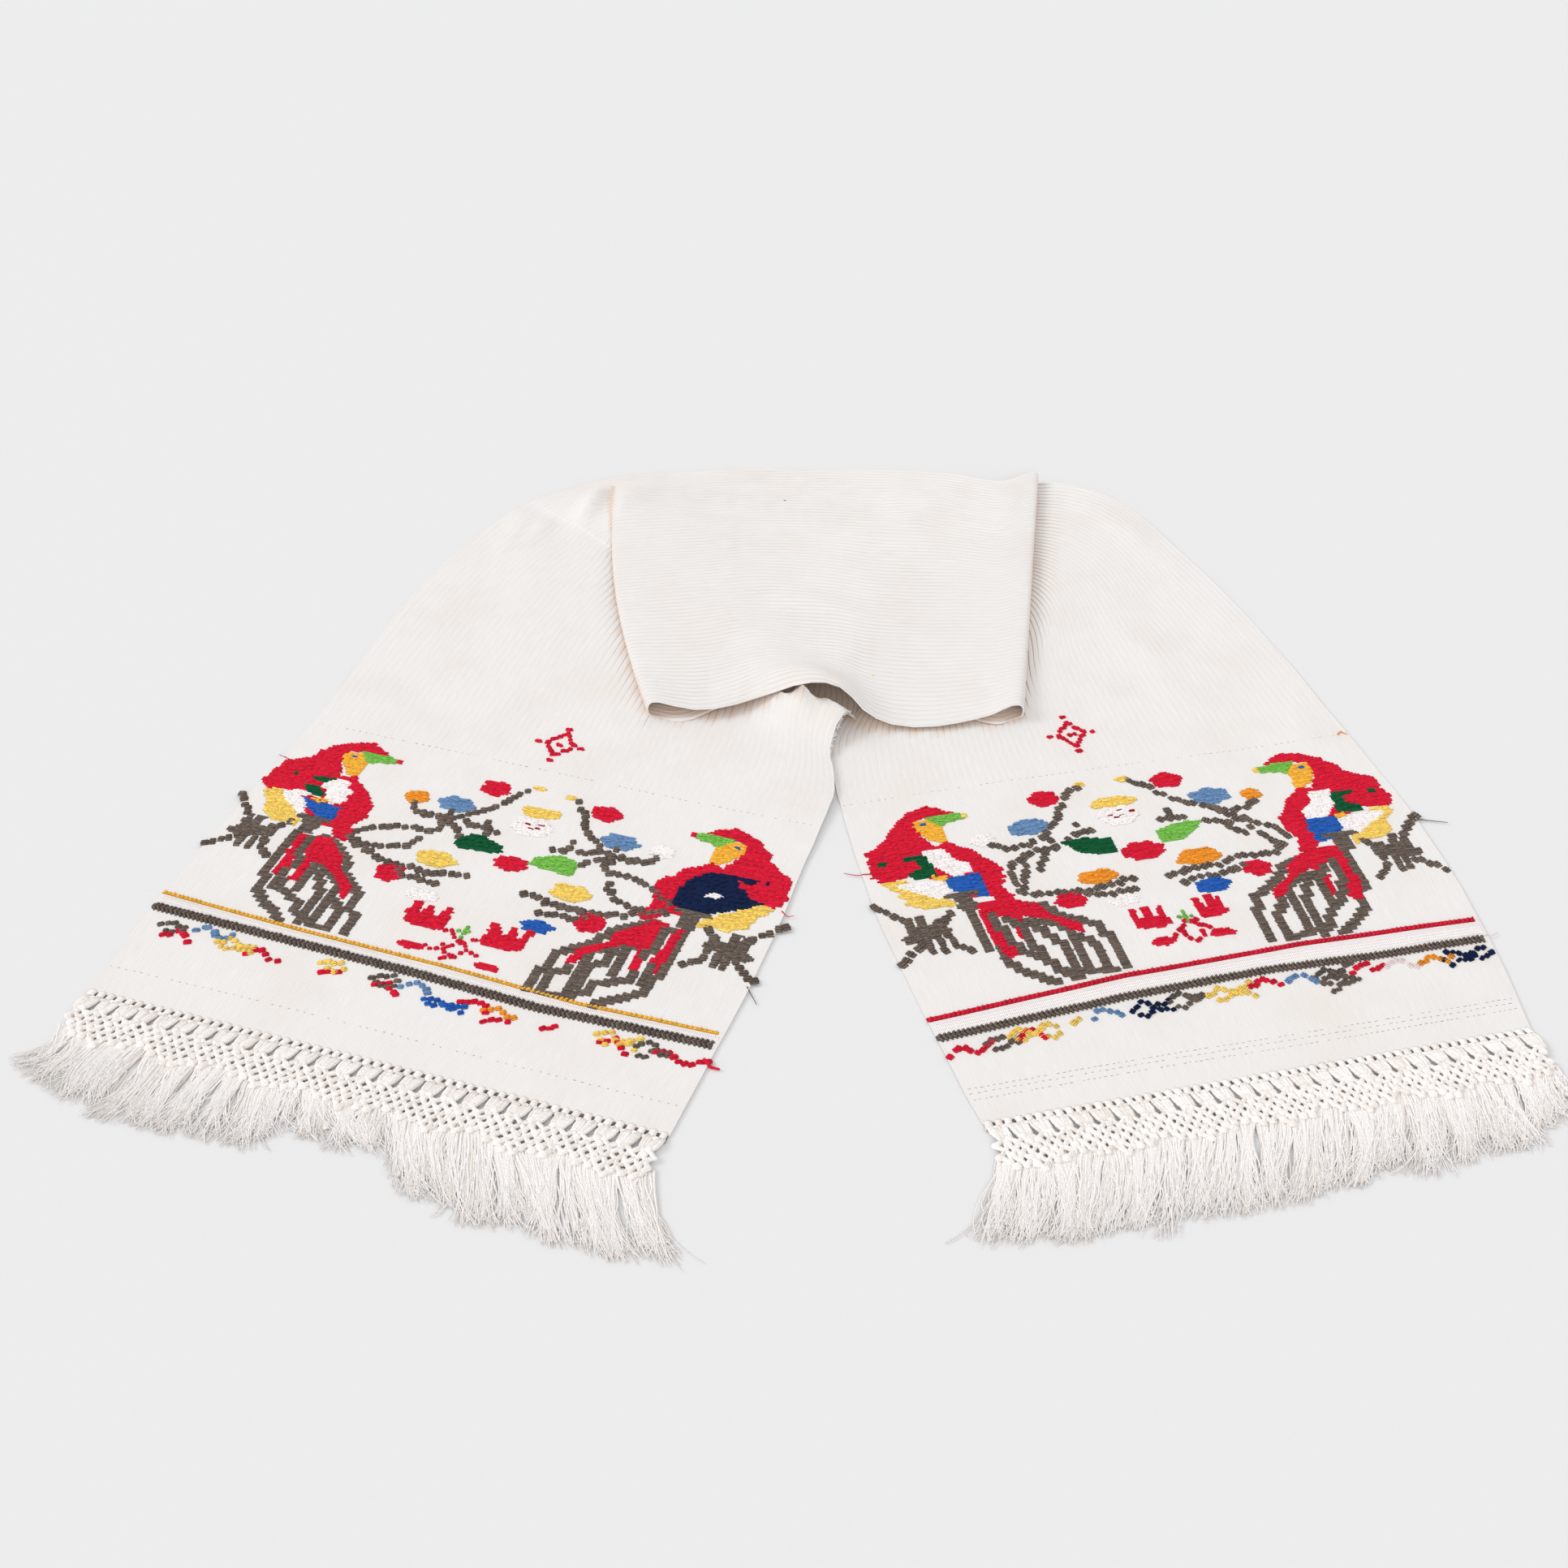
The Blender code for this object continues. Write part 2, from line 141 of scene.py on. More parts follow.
# Soft rises that lift all layers up to the panel's right edge, millimetres:
# x, y, angle of the crest in degrees from +X, half length, half width, height
RISES = (
    (18, 84, 140, 45, 25, 20),  # the ridge under the arch
    (-10, 150, 128, 80, 20, 4),  # the crease from the arch
    (-152, 362, 80, 34, 40, 3),  # the pocket at the shoulder
    (112, 368, 105, 45, 12, 3),  # a wrinkle on the panel
    (-168, 366, 74, 26, 10, 9.0),  # two puffs, left and right of the shoulder's crease
    (-133, 372, 84, 26, 10, 7.0),
)

# Creases of one visible layer alone, rows as in RISES
CREASES = {
    "panel": ((-95, 360, 60, 34, 7, 2.2), (-120, 385, 35, 22, 8, 1.8), (135, 372, 68, 34, 8, 2.4),
              (92, 330, 30, 60, 14, 1.2), (-60, 250, 18, 70, 16, 1.2), (20, 215, 150, 60, 14, 1.6),
              (95, 160, 12, 55, 16, 1.2), (-60, 120, 20, 45, 14, 1.2)),
    "left arm": ((-205, 345, 65, 30, 8, 2.4), (-232, 330, 78, 40, 8, 1.6),
                 (-215, 250, 95, 70, 20, 1.4), (-60, 40, 150, 70, 16, 1.4),
                 (-330, 40, 60, 60, 20, 1.0)),
    "right arm": ((300, 330, 120, 60, 14, 1.8), (290, 150, 105, 80, 18, 1.4),
                  (110, 20, 20, 50, 14, 1.4), (400, 60, 100, 60, 18, 1.0)),
}

# The panel seen from above, millimetres, and the way over which the shade under it fades in
PANEL_OUTLINE = (
    (-148, 414), (-148.6, 326), (-141.4, 240), (-126, 154), (-103, 70), (-73, 67), (-50, 67),
    (-26, 75), (-2, 76), (18, 72), (36, 69), (49, 65), (57, 57), (68, 54), (86, 53), (112, 52),
    (140, 58), (184, 67), (229, 413))
PANEL_SHADE = 3.5

# Painted shade beside the panel and behind the crest: side of the line (1 right, -1 left), painted
# brown, painted shade in the grooves, then y, x and the shade's width at points of the line,
# millimetres
SHADE_BANDS = (
    (1, 0.18, 0.75, ((68, 184, 0), (110, 189.5, 6), (180, 198.6, 14), (270, 210.3, 19),
                    (350, 220.8, 23), (400, 227.3, 14), (425, 230.6, 0))),
    (-1, 0.03, 0.4, ((66, -103, 0), (80, -106, 13), (110, -114, 15), (154, -126, 13),
                     (240, -141.4, 8), (326, -148.6, 3), (350, -149, 0))),
    (-1, 0.80, 0.2, ((318, -149, 0), (340, -149.6, 2.5), (385, -151.5, 4.5), (398, -152, 0))),
    (1, 0.30, 0.2, ((20, 36, 0), (30, 40, 5), (45, 46, 16), (56, 50, 26), (70, 56, 34))),
)

# The bands that the work is laid out on, 400 mm wide and 300 high: x across from the corner that is
# on the left in the usual view, y above the hem
ENDS = ("left", "right")
BAND_WIDTH = 400.0
BAND_HEIGHT = 300.0
BAND_LENGTH = {"left": 296.3 * MM, "right": 306.5 * MM}  # real way from the hem to the first ribs
BAND_U = {"left": (0, 0.45), "right": (1, 0.55)}  # range of u that each band lies in
BAND_GRID = (81, 125)  # points across and along of the grid that a band is kept as
PATCH_HEIGHT = 372.0  # how far above the hem stitches may lie
HEM_ROWS = np.array((0.5, 1.5, 3.5)) * MM  # extra rows of the cloth this far from each hem

# The pinched crest of the left arm under the arch, millimetres: its ends, its reach in front,
# behind, before its start and beyond its end, and its extra height over its length
CREST = ((15.7, 73.0), (51.3, 56.3))
CREST_FRONT = 20.0
CREST_BEHIND = 7.0
CREST_BEFORE = 32.0
CREST_BEYOND = 16.0
CREST_HEIGHTS = ((0.0, 0.45, 1.0), (8.5, 4.0, 5.0))

# The stitched work

CELL = (2.1, 1.4)  # millimetres: half a stitch's length, and the yarn's pitch
STITCH_CELLS = (2, 3)  # how many cells one laid stitch spans
STITCH_SINK = 0.15 * MM  # how deep the ends of a stitch are in the cloth
BAR_CELLS = (3, 3)  # columns and rows of one step of a stitched bar
RIDGE_PITCH = 4.9  # millimetres between the soft ridges of laid rows
FRAYED_CELLS = 3  # cells that end together at a patch's rim
FRAYED_BY = 1.2  # millimetres by which they end early or late

# Chains: pitch of their beads, and a bead's length and width, in millimetres
BRAID = (5.6, (6.4, 6.0))
LEFT_SCROLL = (3.6, (3.8, 3.2))
RIGHT_SCROLL = (3.8, (4.4, 3.6))
CROSS_CHAIN = (3.2, (3.4, 3.0))
RING_CHAIN = (3.4, (4.6, 3.8))
DASH_CHAIN = (3.4, (4.2, 4.2))
TIP_CHAIN = (3.0, (4.0, 3.6))
ZIGZAG_CHAIN = (4.7, (5.7, 4.0))
MIRRORED_CHAIN = (4.9, (5.3, 3.6))

YARNS = (
    ("red wool", "#E41C3C"), ("dark red wool", "#98142C"), ("orange wool", "#F9A032"),
    ("gold wool", "#FFC044"), ("yellow wool", "#FFDB6E"), ("leaf green wool", "#82C956"),
    ("dark green wool", "#0C5F38"), ("light blue wool", "#7298C4"), ("blue wool", "#2A66C0"),
    ("navy wool", "#12244C"), ("white wool", "#FBF6F5"), ("grey-brown wool", "#75685F"),
    ("pale pink wool", "#F6E6E6"), ("drawn thread", "#C2B6AD"),
)
(RED, DARK_RED, ORANGE, GOLD, YELLOW, LEAF, PINE, SKY, BLUE, NAVY, WHITE, GREY,
 PINK, THREAD) = range(len(YARNS))
WOOL_SPREAD = 0.32  # how unlike in brightness strands of one wool are
WOOL_SPREADS = {"white wool": 0.05, "pale pink wool": 0.05, "grey-brown wool": 0.45}

# A bird that looks to the right, in millimetres from the root of its tail: patches of laid stitches
BIRD_BODY = ((20, 95), (12, 101), (1, 106), (-12, 102), (-22, 95), (-30, 86), (-34, 77), (-43, 71),
             (-51, 68), (-51, 56), (-54, 42), (-46, 35), (-28, 38), (-6, 30), (8, 10), (20, 9),
             (26, 0), (35, -2), (36, 5), (32, 16), (36, 24), (36, 38), (28, 46), (21, 56),
             (13, 61), (8, 67), (-3, 63), (-10, 76), (-11, 91), (-3, 94))
BIRD_FACE = ((-11, 91), (2, 92), (8, 84), (9, 67), (3, 66), (-4, 71), (-9, 77), (-12, 83))
BIRD_BEAK = ((-3, 95), (13, 95), (26, 94), (26, 88), (14, 86), (7, 83), (2, 89))
BIRD_BELLY = ((-47, 35), (-35, 36), (-24, 25), (-12, 15), (-5, 9), (-5, 2), (-12, 5), (-24, 4),
              (-37, 11), (-39, 24), (-45, 28))
BIRD_LEG = ((-4, 13), (9, 13), (9, -2), (-3, -2))
BIRD_LEG_CAP = ((-12, 12), (-9, 16), (14, 16), (16, 12))
BIRD_BEAK_TIP = (28, 91)
BIRD_EYE = (-5, 87)

# Wings: colour, points
WHITE_WING = (
    (WHITE, ((-11, 53), (-3, 60), (8, 59), (8, 52), (14, 50), (13, 34), (5, 32), (-3, 38),
             (-4, 44), (-11, 49))),
    (WHITE, ((-33, 35), (-23, 41), (-3, 37), (-20, 35), (-11, 28), (-7, 18), (-12, 16),
             (-23, 24), (-31, 31))),
    (PINE, ((-36, 59), (-33, 59), (-33, 54), (-36, 54))),
    (PINE, ((-22, 57), (-5, 60), (-9, 53), (-20, 53))),
    (PINE, ((-23, 48), (-12, 47), (-3, 41), (-5, 37), (-16, 39), (-22, 42))),
    (BLUE, ((-20, 36), (-9, 32), (15, 31), (16, 16), (2, 15), (-7, 22), (-12, 30))),
    (GOLD, ((-11, 34), (-4, 37), (6, 34), (-3, 31))),
    (DARK_RED, ((-6, 35), (0, 35), (0, 33), (-6, 33))),
    (RED, ((-11, 23), (-7, 23), (3, 16), (-3, 14))),
)
NAVY_WING = (
    (NAVY, ((-32, 59), (-5, 59), (8, 55), (15, 46), (20, 33), (19, 16), (-8, 17), (-26, 27),
            (-40, 37), (-26, 40), (-24, 50))),
    (RED, ((-26, 53), (-17, 54), (-19, 48), (-25, 47))),
    (NAVY, ((-38, 60), (-35, 60), (-35, 56), (-38, 56))),
    (WHITE, ((-12, 36), (-6, 38), (1, 34), (-2, 31), (-9, 33))),
)
BLOCK_WING = (
    (WHITE, ((-13, 61), (3, 60), (6, 50), (17, 42), (17, 33), (3, 31), (-3, 38), (-12, 46))),
    (WHITE, ((-40, 31), (-22, 31), (-8, 30), (-2, 22), (-5, 15), (-14, 12), (-27, 20), (-38, 27))),
    (PINE, ((-28, 57), (-12, 57), (-10, 47), (-8, 38), (-10, 34), (-26, 34), (-27, 41),
                  (-18, 44), (-20, 52), (-28, 53))),
    (PINE, ((-46, 55), (-40, 55), (-40, 51), (-46, 51))),
    (BLUE, ((-4, 32), (20, 32), (21, 9), (14, 9), (4, 14), (-4, 20))),
    (GOLD, ((-12, 35), (-3, 34), (-4, 29), (-11, 30))),
)

# Tails, millimetres from the root: dark bars that go up and down in columns, and red patches
LEFT_TAIL_BARS = (
    ((-1, -2), (-1, -26), (0, -48), (4, -52), (4, -65), (8, -69), (17, -77), (25, -81), (32, -88)),
    ((11, -5), (12, -20), (15, -27), (16, -37)), ((11, -42), (11, -60)),
    ((22, -1), (33, -8), (47, -19), (51, -31), (58, -38), (68, -46), (73, -52), (73, -66),
     (78, -69), (78, -87)),
    ((27, -29), (36, -31), (46, -38), (53, -42), (53, -81)), ((28, -31), (28, -58)),
    ((33, -36), (39, -38), (40, -50), (46, -53), (46, -76)),
    ((18, -51), (18, -59), (25, -62), (30, -66), (38, -68), (39, -77), (46, -81), (56, -86),
     (66, -87)),
    ((60, -58), (61, -64), (66, -65), (66, -87)), ((47, -81), (47, -87)),
)
LEFT_QUILL = ((14, -1), (25, -1), (33, -9), (44, -19), (45, -29), (54, -35), (63, -43), (63, -56),
              (58, -55), (54, -45), (44, -36), (35, -29), (19, -27), (14, -17))
LEFT_FIRST_STREAK = ((1, -3), (9, -3), (10, -24), (13, -36), (14, -48), (5, -48), (3, -26))
LEFT_LAST_STREAK = ((18, -26), (24, -26), (24, -49), (18, -49))
RIGHT_TAIL_BARS = (
    ((5, 0), (5, -41)), ((11, -41), (15, -60), (21, -66), (37, -78)),
    ((17, -10), (20, -35), (27, -48), (36, -55), (42, -63), (44, -69), (53, -78)),
    ((25, -15), (33, -25), (36, -50)), ((38, -21), (47, -33), (49, -40), (53, -45), (53, -75)),
    ((36, -20), (56, -26), (61, -33), (61, -75)), ((66, -40), (71, -48), (76, -53), (76, -76)),
    ((31, -1), (53, -8), (61, -20), (73, -28), (83, -33), (85, -43), (90, -48), (90, -75)),
    ((44, -69), (61, -73), (78, -76)),
)
RIGHT_QUILL = ((4, 4), (34, 2), (51, -8), (56, -20), (71, -30), (72, -39), (63, -35),
               (53, -23), (36, -15), (32, -18), (33, -43), (28, -43), (27, -15), (14, -8))
RIGHT_STREAK = ((8, -4), (15, -5), (16, -28), (22, -30), (22, -43), (20, -50), (13, -51), (8, -35))

# Tails of each end: bars, patches, and which bars lie over the red
BIRD_TAILS = {
    "left": (LEFT_TAIL_BARS, (LEFT_QUILL, LEFT_FIRST_STREAK, LEFT_LAST_STREAK), (1, 2, 5)),
    "right": (RIGHT_TAIL_BARS, (RIGHT_QUILL, RIGHT_STREAK), (2, 3)),
}

# The twig under a bird, millimetres from the root of its tail: chains and the filled part
TWIG_CHAINS = (
    ((-60, 22), (-54, 16), (-48, 11), (-44, 6)), ((-11, 5), (-17, -1), (-22, -7)),
    ((-56, -34), (-50, -29), (-45, -25), (-39, -20)), ((-33, -18), (-33, -27)),
    ((-26, -18), (-26, -27)), ((-19, -15), (-16, -26), (-8, -32)),
)
TWIG_HEART = ((-44, 6), (-38, 6), (-37, -3), (-36, -3), (-36, 6), (-29, 6), (-29, -4), (-24, -4),
              (-24, 0), (-15, 0), (-15, -12), (-22, -14), (-30, -16), (-38, -18), (-47, -17),
              (-49, -12), (-44, -10))

# Half of the left end's spray, millimetres from its axis and from SPRAY_BASE above the hem; it
# grows to the left. Flowers: colour, x, y, half width, half height, lobes
SPRAY_BASE = BAND_HEIGHT * 2 / 3
SPRAY_SWELL = (1.12, 1.15)  # how much wider and taller its flowers are than the table says
SPRAY_FLOWERS = (
    (YELLOW, -13, 79, 4, 2, 3), (RED, -43, 70, 10, 7, 5), (SKY, -62, 45, 12, 7, 6),
    ("small", -93, 44, 8, 6, 4), (RED, -73, -37, 9, 8, 6), ("side", -50, -14, 13, 7, 5),
    ("low", -42, -51, 10, 5, 5),
)
SPRAY_LEAF = ((-46, 5), (-40, 18), (-28, 19), (-13, 12), (-11, 4), (-28, 3), (-40, 1))
SPRAY_CHAINS = (
    ((-20, 75), (-27, 66), (-31, 56), (-41, 44), (-50, 37)),
    ((-92, 37), (-88, 31), (-76, 28), (-62, 31), (-50, 32), (-44, 27)),
    ((-80, 30), (-68, 28), (-58, 25), (-50, 20), (-46, 14)), ((-64, 24), (-60, 18), (-66, 12)),
    ((-62, 37), (-60, 30)), ((-39, 27), (-33, 29), (-29, 23)), ((-32, 34), (-30, 25), (-22, 24)),
    ((-68, 13), (-86, 12), (-102, 5), (-114, -3), (-117, -10), (-108, -16), (-96, -15),
     (-82, -11), (-72, -4), (-70, 3)),
    ((-116, -12), (-98, -20), (-84, -26), (-66, -28), (-46, -28), (-22, -23)),
    ((-62, -27), (-50, -29), (-38, -27)), ((-68, -33), (-60, -38), (-50, -36), (-38, -38)),
)

# Under each half: the crown, its place, and the scrolls beside it with their small mound
CROWN_PLACE = (-28, -79)
CROWN = ((-16, 21), (-11, 22), (-9, 12), (-6, 12), (-4, 21), (0, 21), (2, 12), (5, 12), (7, 22),
         (13, 21), (15, 4), (10, -1), (-8, -1), (-15, 3))
SCROLL_CHAINS = (((-19, -75), (-8, -79), (0, -85), (8, -91), (17, -93)),
                 ((-8, -92), (-2, -99), (4, -101)))
SCROLL_MOUND = (RED, -28, -98, 10, 3.2, 2)

# The flowers on the spray's axis, and the dots on the upper one
MIDDLE_FLOWERS = ((WHITE, -1, 38, 15, 10, 6), (YELLOW, -1, 54, 15, 6, 3), (RED, 1, -3, 12, 7.5, 8))
MIDDLE_DOTS = ((-6, 40), (0, 42), (6, 41), (-1, 36), (4, 37))
MIDDLE_CROSS = (0, -76)

# A small cross of two chains
CROSS = (((0, 5), (0, -5)), ((-4, 0), (4, 0)))

# The two halves of the left end's spray: axis x, shift of y, scale, mirrored, colours of the small,
# the side and the low flower, and of the leaf
LEFT_SPRAYS = ((207, 0, 1.0, False, ORANGE, YELLOW, WHITE, PINE),
               (207, -4, 1.02, True, WHITE, YELLOW, BLUE, LEAF))

# The spray of the right end, millimetres on its band
RIGHT_FLOWERS = (
    (YELLOW, 180, 285, 4.5, 2.5, 3), (RED, 148, 276, 11.5, 8, 5), (SKY, 128, 249, 15, 8, 6),
    (WHITE, 92, 243, 9, 6, 5), (ORANGE, 158, 190, 14, 7, 5), (RED, 132, 172, 11, 7, 6),
    (WHITE, 167, 165, 11, 5, 5), (YELLOW, 212, 284, 4.5, 3, 3), (RED, 244, 277, 11.5, 8, 5),
    (SKY, 267, 254, 15, 8.5, 6), (ORANGE, 297, 250, 7.5, 6, 4), (ORANGE, 234, 195, 16, 8, 5),
    (RED, 269, 176, 10, 8, 6), (BLUE, 232, 166, 13, 7, 5), (WHITE, 195, 248, 15, 10, 6),
    (YELLOW, 196, 262, 17, 5.5, 3), (RED, 198, 209, 15, 9, 8), (RED, 179, 122, 9, 3.5, 2),
    (RED, 221, 122, 8, 3.5, 2),
)
RIGHT_PATCHES = (
    (PINE, ((145, 229), (152, 230), (165, 229), (181, 226), (181, 212), (168, 211),
                  (155, 216))),
    (LEAF, ((214, 226), (225, 230), (240, 232), (251, 230), (240, 221), (228, 214), (214, 214))),
    (RED, ((165, 155), (169, 155), (171, 146), (175, 146), (175, 156), (181, 156), (181, 145),
           (184, 145), (186, 154), (190, 154), (190, 138), (184, 134), (168, 137), (165, 140))),
    (RED, ((212, 157), (216, 157), (218, 147), (220, 147), (221, 158), (226, 158), (227, 147),
           (229, 156), (232, 156), (232, 140), (226, 137), (214, 137), (212, 142))),
)
RIGHT_CHAINS = (
    ((176, 282), (167, 279), (162, 270), (156, 264), (149, 252), (142, 245), (136, 237)),
    ((97, 237), (107, 230), (122, 231), (126, 235)),
    ((115, 221), (125, 225), (142, 225), (135, 237)), ((130, 220), (122, 206)),
    ((115, 221), (105, 215), (100, 207), (100, 195), (102, 186), (120, 181), (145, 179),
     (180, 184)),
    ((114, 211), (110, 201), (104, 192)), ((145, 176), (155, 172), (165, 171), (179, 174)),
    ((152, 231), (162, 235), (162, 243)), ((171, 237), (165, 236)),
    ((216, 282), (225, 277), (230, 267), (237, 260), (245, 252), (256, 247), (267, 240)),
    ((262, 242), (272, 237), (287, 236), (296, 242)),
    ((255, 230), (265, 225), (280, 227), (267, 237)), ((267, 220), (275, 211)),
    ((281, 227), (285, 221), (292, 216), (301, 210), (302, 202)),
    ((282, 215), (287, 207), (292, 197)),
    ((297, 194), (285, 187), (260, 189), (245, 185), (222, 185), (205, 182)),
    ((215, 174), (230, 175), (245, 175), (260, 182)), ((222, 238), (232, 237), (231, 245)),
    ((240, 236), (236, 237)),
)
RIGHT_SCROLLS = (
    ((187, 125), (195, 130), (200, 137), (207, 137)), ((216, 125), (210, 132), (203, 137)),
    ((195, 129), (197, 123), (202, 119), (208, 123), (210, 130)),
)
RIGHT_DOTS = ((188, 249), (193, 246), (197, 252), (205, 250), (198, 247))
RIGHT_CROSS = (201, 141)

# The rosette over each end's seam: its place, its ring, the dash in it and its tips
ROSETTES = {"left": (188, 332), "right": (193, 342)}
ROSETTE_RING = ((0, 14), (11, 0), (0, -14), (-11, 0), (0, 14))
ROSETTE_DASH = ((-2, 0), (2, 0))
ROSETTE_TIPS = ((0, 20), (17, 0), (0, -20), (-17, 0))

# Birds of each end: tail root x and y, mirrored, wing, how much lower the twig is
BIRDS = {
    "left": ((55, 185, False, WHITE_WING, 0), (345, 174, True, NAVY_WING, 2)),
    "right": ((59, 180, False, BLOCK_WING, 7), (341, 183, True, BLOCK_WING, 0)),
}

# Broken row of small zigzags under the stripes: colour, from x, to x, shift of y
BROKEN_ROW = {
    "left": (
        (GREY, 15, 31, 0), (RED, 22, 40, -7), (SKY, 40, 66, 2), (YELLOW, 58, 84, -2),
        (RED, 82, 104, -5), (YELLOW, 132, 149, 2), (RED, 136, 146, -5), (GREY, 170, 186, 2),
        (RED, 174, 192, -6), (SKY, 192, 211, 1), (BLUE, 210, 237, -4), (RED, 234, 252, 1),
        (ORANGE, 250, 271, 0), (RED, 255, 268, -8), (RED, 292, 299, -2), (YELLOW, 326, 352, 2),
        (RED, 330, 348, -3), (GREY, 352, 374, 0), (RED, 366, 398, -4)),
    "right": (
        (RED, 3, 34, -2), (GREY, 29, 50, 0), (YELLOW, 46, 80, 2), (RED, 52, 70, -2),
        (YELLOW, 92, 97, 3), (SKY, 107, 127, 4), (NAVY, 135, 162, 1), (GREY, 162, 185, 3),
        (YELLOW, 190, 221, 1), (RED, 220, 241, 3), (SKY, 247, 267, 1), (GREY, 267, 296, 3),
        (GREY, 270, 292, -4), (RED, 295, 317, 3), (PINK, 320, 340, 2), (ORANGE, 344, 368, 2),
        (NAVY, 362, 396, 2)),
}

# Its zigzags, millimetres: how far they lie under the lower stripe, step, rises, and what is added
# to a rise at random. In some wools the long ones have a mirror image of small loops under them
ZIGZAG_BELOW = 14
ZIGZAG_STEP = 3.6
ZIGZAG_RISES = np.array((0, 3.5, 4.9, 1.4, -2.1))
ZIGZAG_WAVER = (-1.4, 0, 0, 1.4)
MIRRORED_WOOL = (NAVY, GREY, YELLOW, BLUE)
MIRRORED_FROM = 15

# Stripes of each end, millimetres: colour, half width, points x, y
STRIPES = {
    "left": ((GOLD, 1.8, ((2, 97.5), (105, 92.5), (205, 90.5), (305, 85.5), (398, 88.5))),
             (GREY, 3.2, ((2, 83.5), (195, 78.5), (280, 74), (398, 77.5)))),
    "right": ((RED, 2.5, ((2, 88), (55, 91.5), (142, 98), (205, 99), (267, 101), (398, 98.5))),
              (GREY, 2.8, ((2, 71.5), (67, 75.5), (130, 80), (242, 83), (317, 80.5), (398, 80.5)))),
}

STRIPE_STEP = 3.3  # from stitch to stitch along a stripe, and in the satin band
SATIN_STEP = 1.3
STRIPE_SLANT = 0.85  # radians
THREADS_KEPT = 0.85  # share of the small running stitches that are still there

# Lines of hemming and drawn threads on each end: y, length of a stitch, pitch, in millimetres
THREAD_LINES = {
    "left": ((300, 2.4, 5.2), (24, 2.2, 5.6)),
    "right": ((300, 2.4, 5.2), (27.5, 3.0, 4.4), (23.5, 3.0, 5.0), (18.5, 2.6, 4.0)),
}

# Lint on the panel, millimetres: x, y, half length, colour; its half sizes over its half length,
# and the range of u in which the panel is looked for
LINT = ((2, 377, 1.1, GREY), (70, 110, 1.7, YELLOW), (83, 117, 0.7, PINK), (150, 300, 0.6, THREAD))
LINT_SHAPE = (1.0, 0.6, 0.35)
PANEL_U = (0.42, 0.62)

# The knotted heading and the fringe

BUNDLES = 28
LOCKS = 2 * BUNDLES  # locks of a fringe, and legs from its posts to the net
HEM_POSTS = 57
PAIR_DRAW = 1.35  # millimetres by which the two legs of a pair draw together
POINTS_PER_END = 7
NOTCH_DEPTH = 34.0  # millimetres under the hem where the knotted band ends
POINT_DEPTH = 42.0
NET_TOP = 4.5  # millimetres under the hem where the long openings begin
NET_DEPTHS = (15.5, 19.8, 24.1, 28.4, 32.7, 37.0, 41.3)  # and of each row of knots
NET_LEAN = -3.0  # millimetres by which the long openings lean to the outer corner

# Posts of the hemstitch, millimetres: depth under the hem and height of both ends, and radii over
# their length; the depths of the binding threads, dark as painted shade; half sizes of the knots in
# the gaps and in the net
POST_ENDS = ((-0.8, 0.9), (5.2, 1.6))
POST_RADII = ((0, 0.35, 0.7, 1), (3.1, 2.4, 2.7, 3.3))
BINDING_THREAD_DEPTHS = ((1.2,), (3.1,), (5.0,))
GAP_KNOT = (2.6, 1.4, 1.3)
NET_KNOT = (2.6, 2.3, 1.6)
LEG_RADIUS = 1.45 * MM
KNOT_RINGS = 5
KNOT_SIDES = 8

# Where the locks end, millimetres: share of the hem at the root, way along the hem, depth under it
FRINGE_TIPS = {
    "left": ((0.00, -12, 66), (0.10, 33, 86), (0.20, 78, 92), (0.30, 122, 88), (0.36, 150, 85),
             (0.41, 172, 70), (0.50, 214, 64), (0.55, 238, 61), (0.60, 262, 84), (0.75, 330, 96),
             (0.90, 396, 95), (1.00, 438, 88)),
    "right": ((0.00, 2, 64), (0.10, 44, 88), (0.20, 88, 86), (0.35, 152, 88), (0.50, 208, 92),
              (0.65, 262, 96), (0.80, 316, 94), (0.90, 350, 90), (1.00, 389, 86)),
}

# What is random in a lock, millimetres: its tip's way aside and down, and its sway. The tip's way
# aside is the power LOCK_BEND of the way down, and a lock's body ends short of its tip
LOCK_ASIDE = 3.6
LOCK_DOWN = 4.0
LOCK_SWAY = 2.6
LOCK_BEND = 1.15
BODY_SHARE = 0.84
STRAND_RINGS = 13

# Broad lights as even as a studio's: strength, spread, azimuth from +X and elevation in degrees
STUDIO_LIGHTS = (("key", 0.95, 24.0, 168.0, 36.0), ("front", 0.7, 30.0, -86.0, 34.0))
FLOOR_HALF = 12.0  # metres
CAMERA_PLACE = (-0.0023, -1.0982, 0.922)
CAMERA_TILT = 49.8  # degrees up from straight down
SENSOR_WIDTH = 36.0  # millimetres

# The frayed corner: its middle in millimetres, range of u, reach in millimetres, number of hairs
FRAYED = (46, 44)
FRAYED_U = (0.05, 0.3)
FRAYED_REACH = 24
FRAYED_HAIRS = 110

# Loose ends of yarn: end, colour, half width, points x and y of the band, millimetres
LOOSE_ENDS = (
    ("left", RED, 0.45, ((24, 248), (14, 251), (4, 255), (-4, 258))),
    ("left", RED, 0.4, ((398, 208), (403, 205), (407, 207))),
    ("left", GREY, 0.45, ((399, 133), (404, 127), (410, 120))),
    ("left", RED, 1.4, ((396, 64), (402, 60), (408, 60))),
    ("right", RED, 0.4, ((6, 226), (-4, 228), (-12, 232))),
    ("right", ORANGE, 0.6, ((392, 300), (396, 303), (399, 299))),
    ("right", GREY, 0.5, ((392, 196), (402, 200), (412, 196), (420, 193))),
    ("right", PINK, 0.4, ((398, 83), (404, 82), (409, 84))),
)


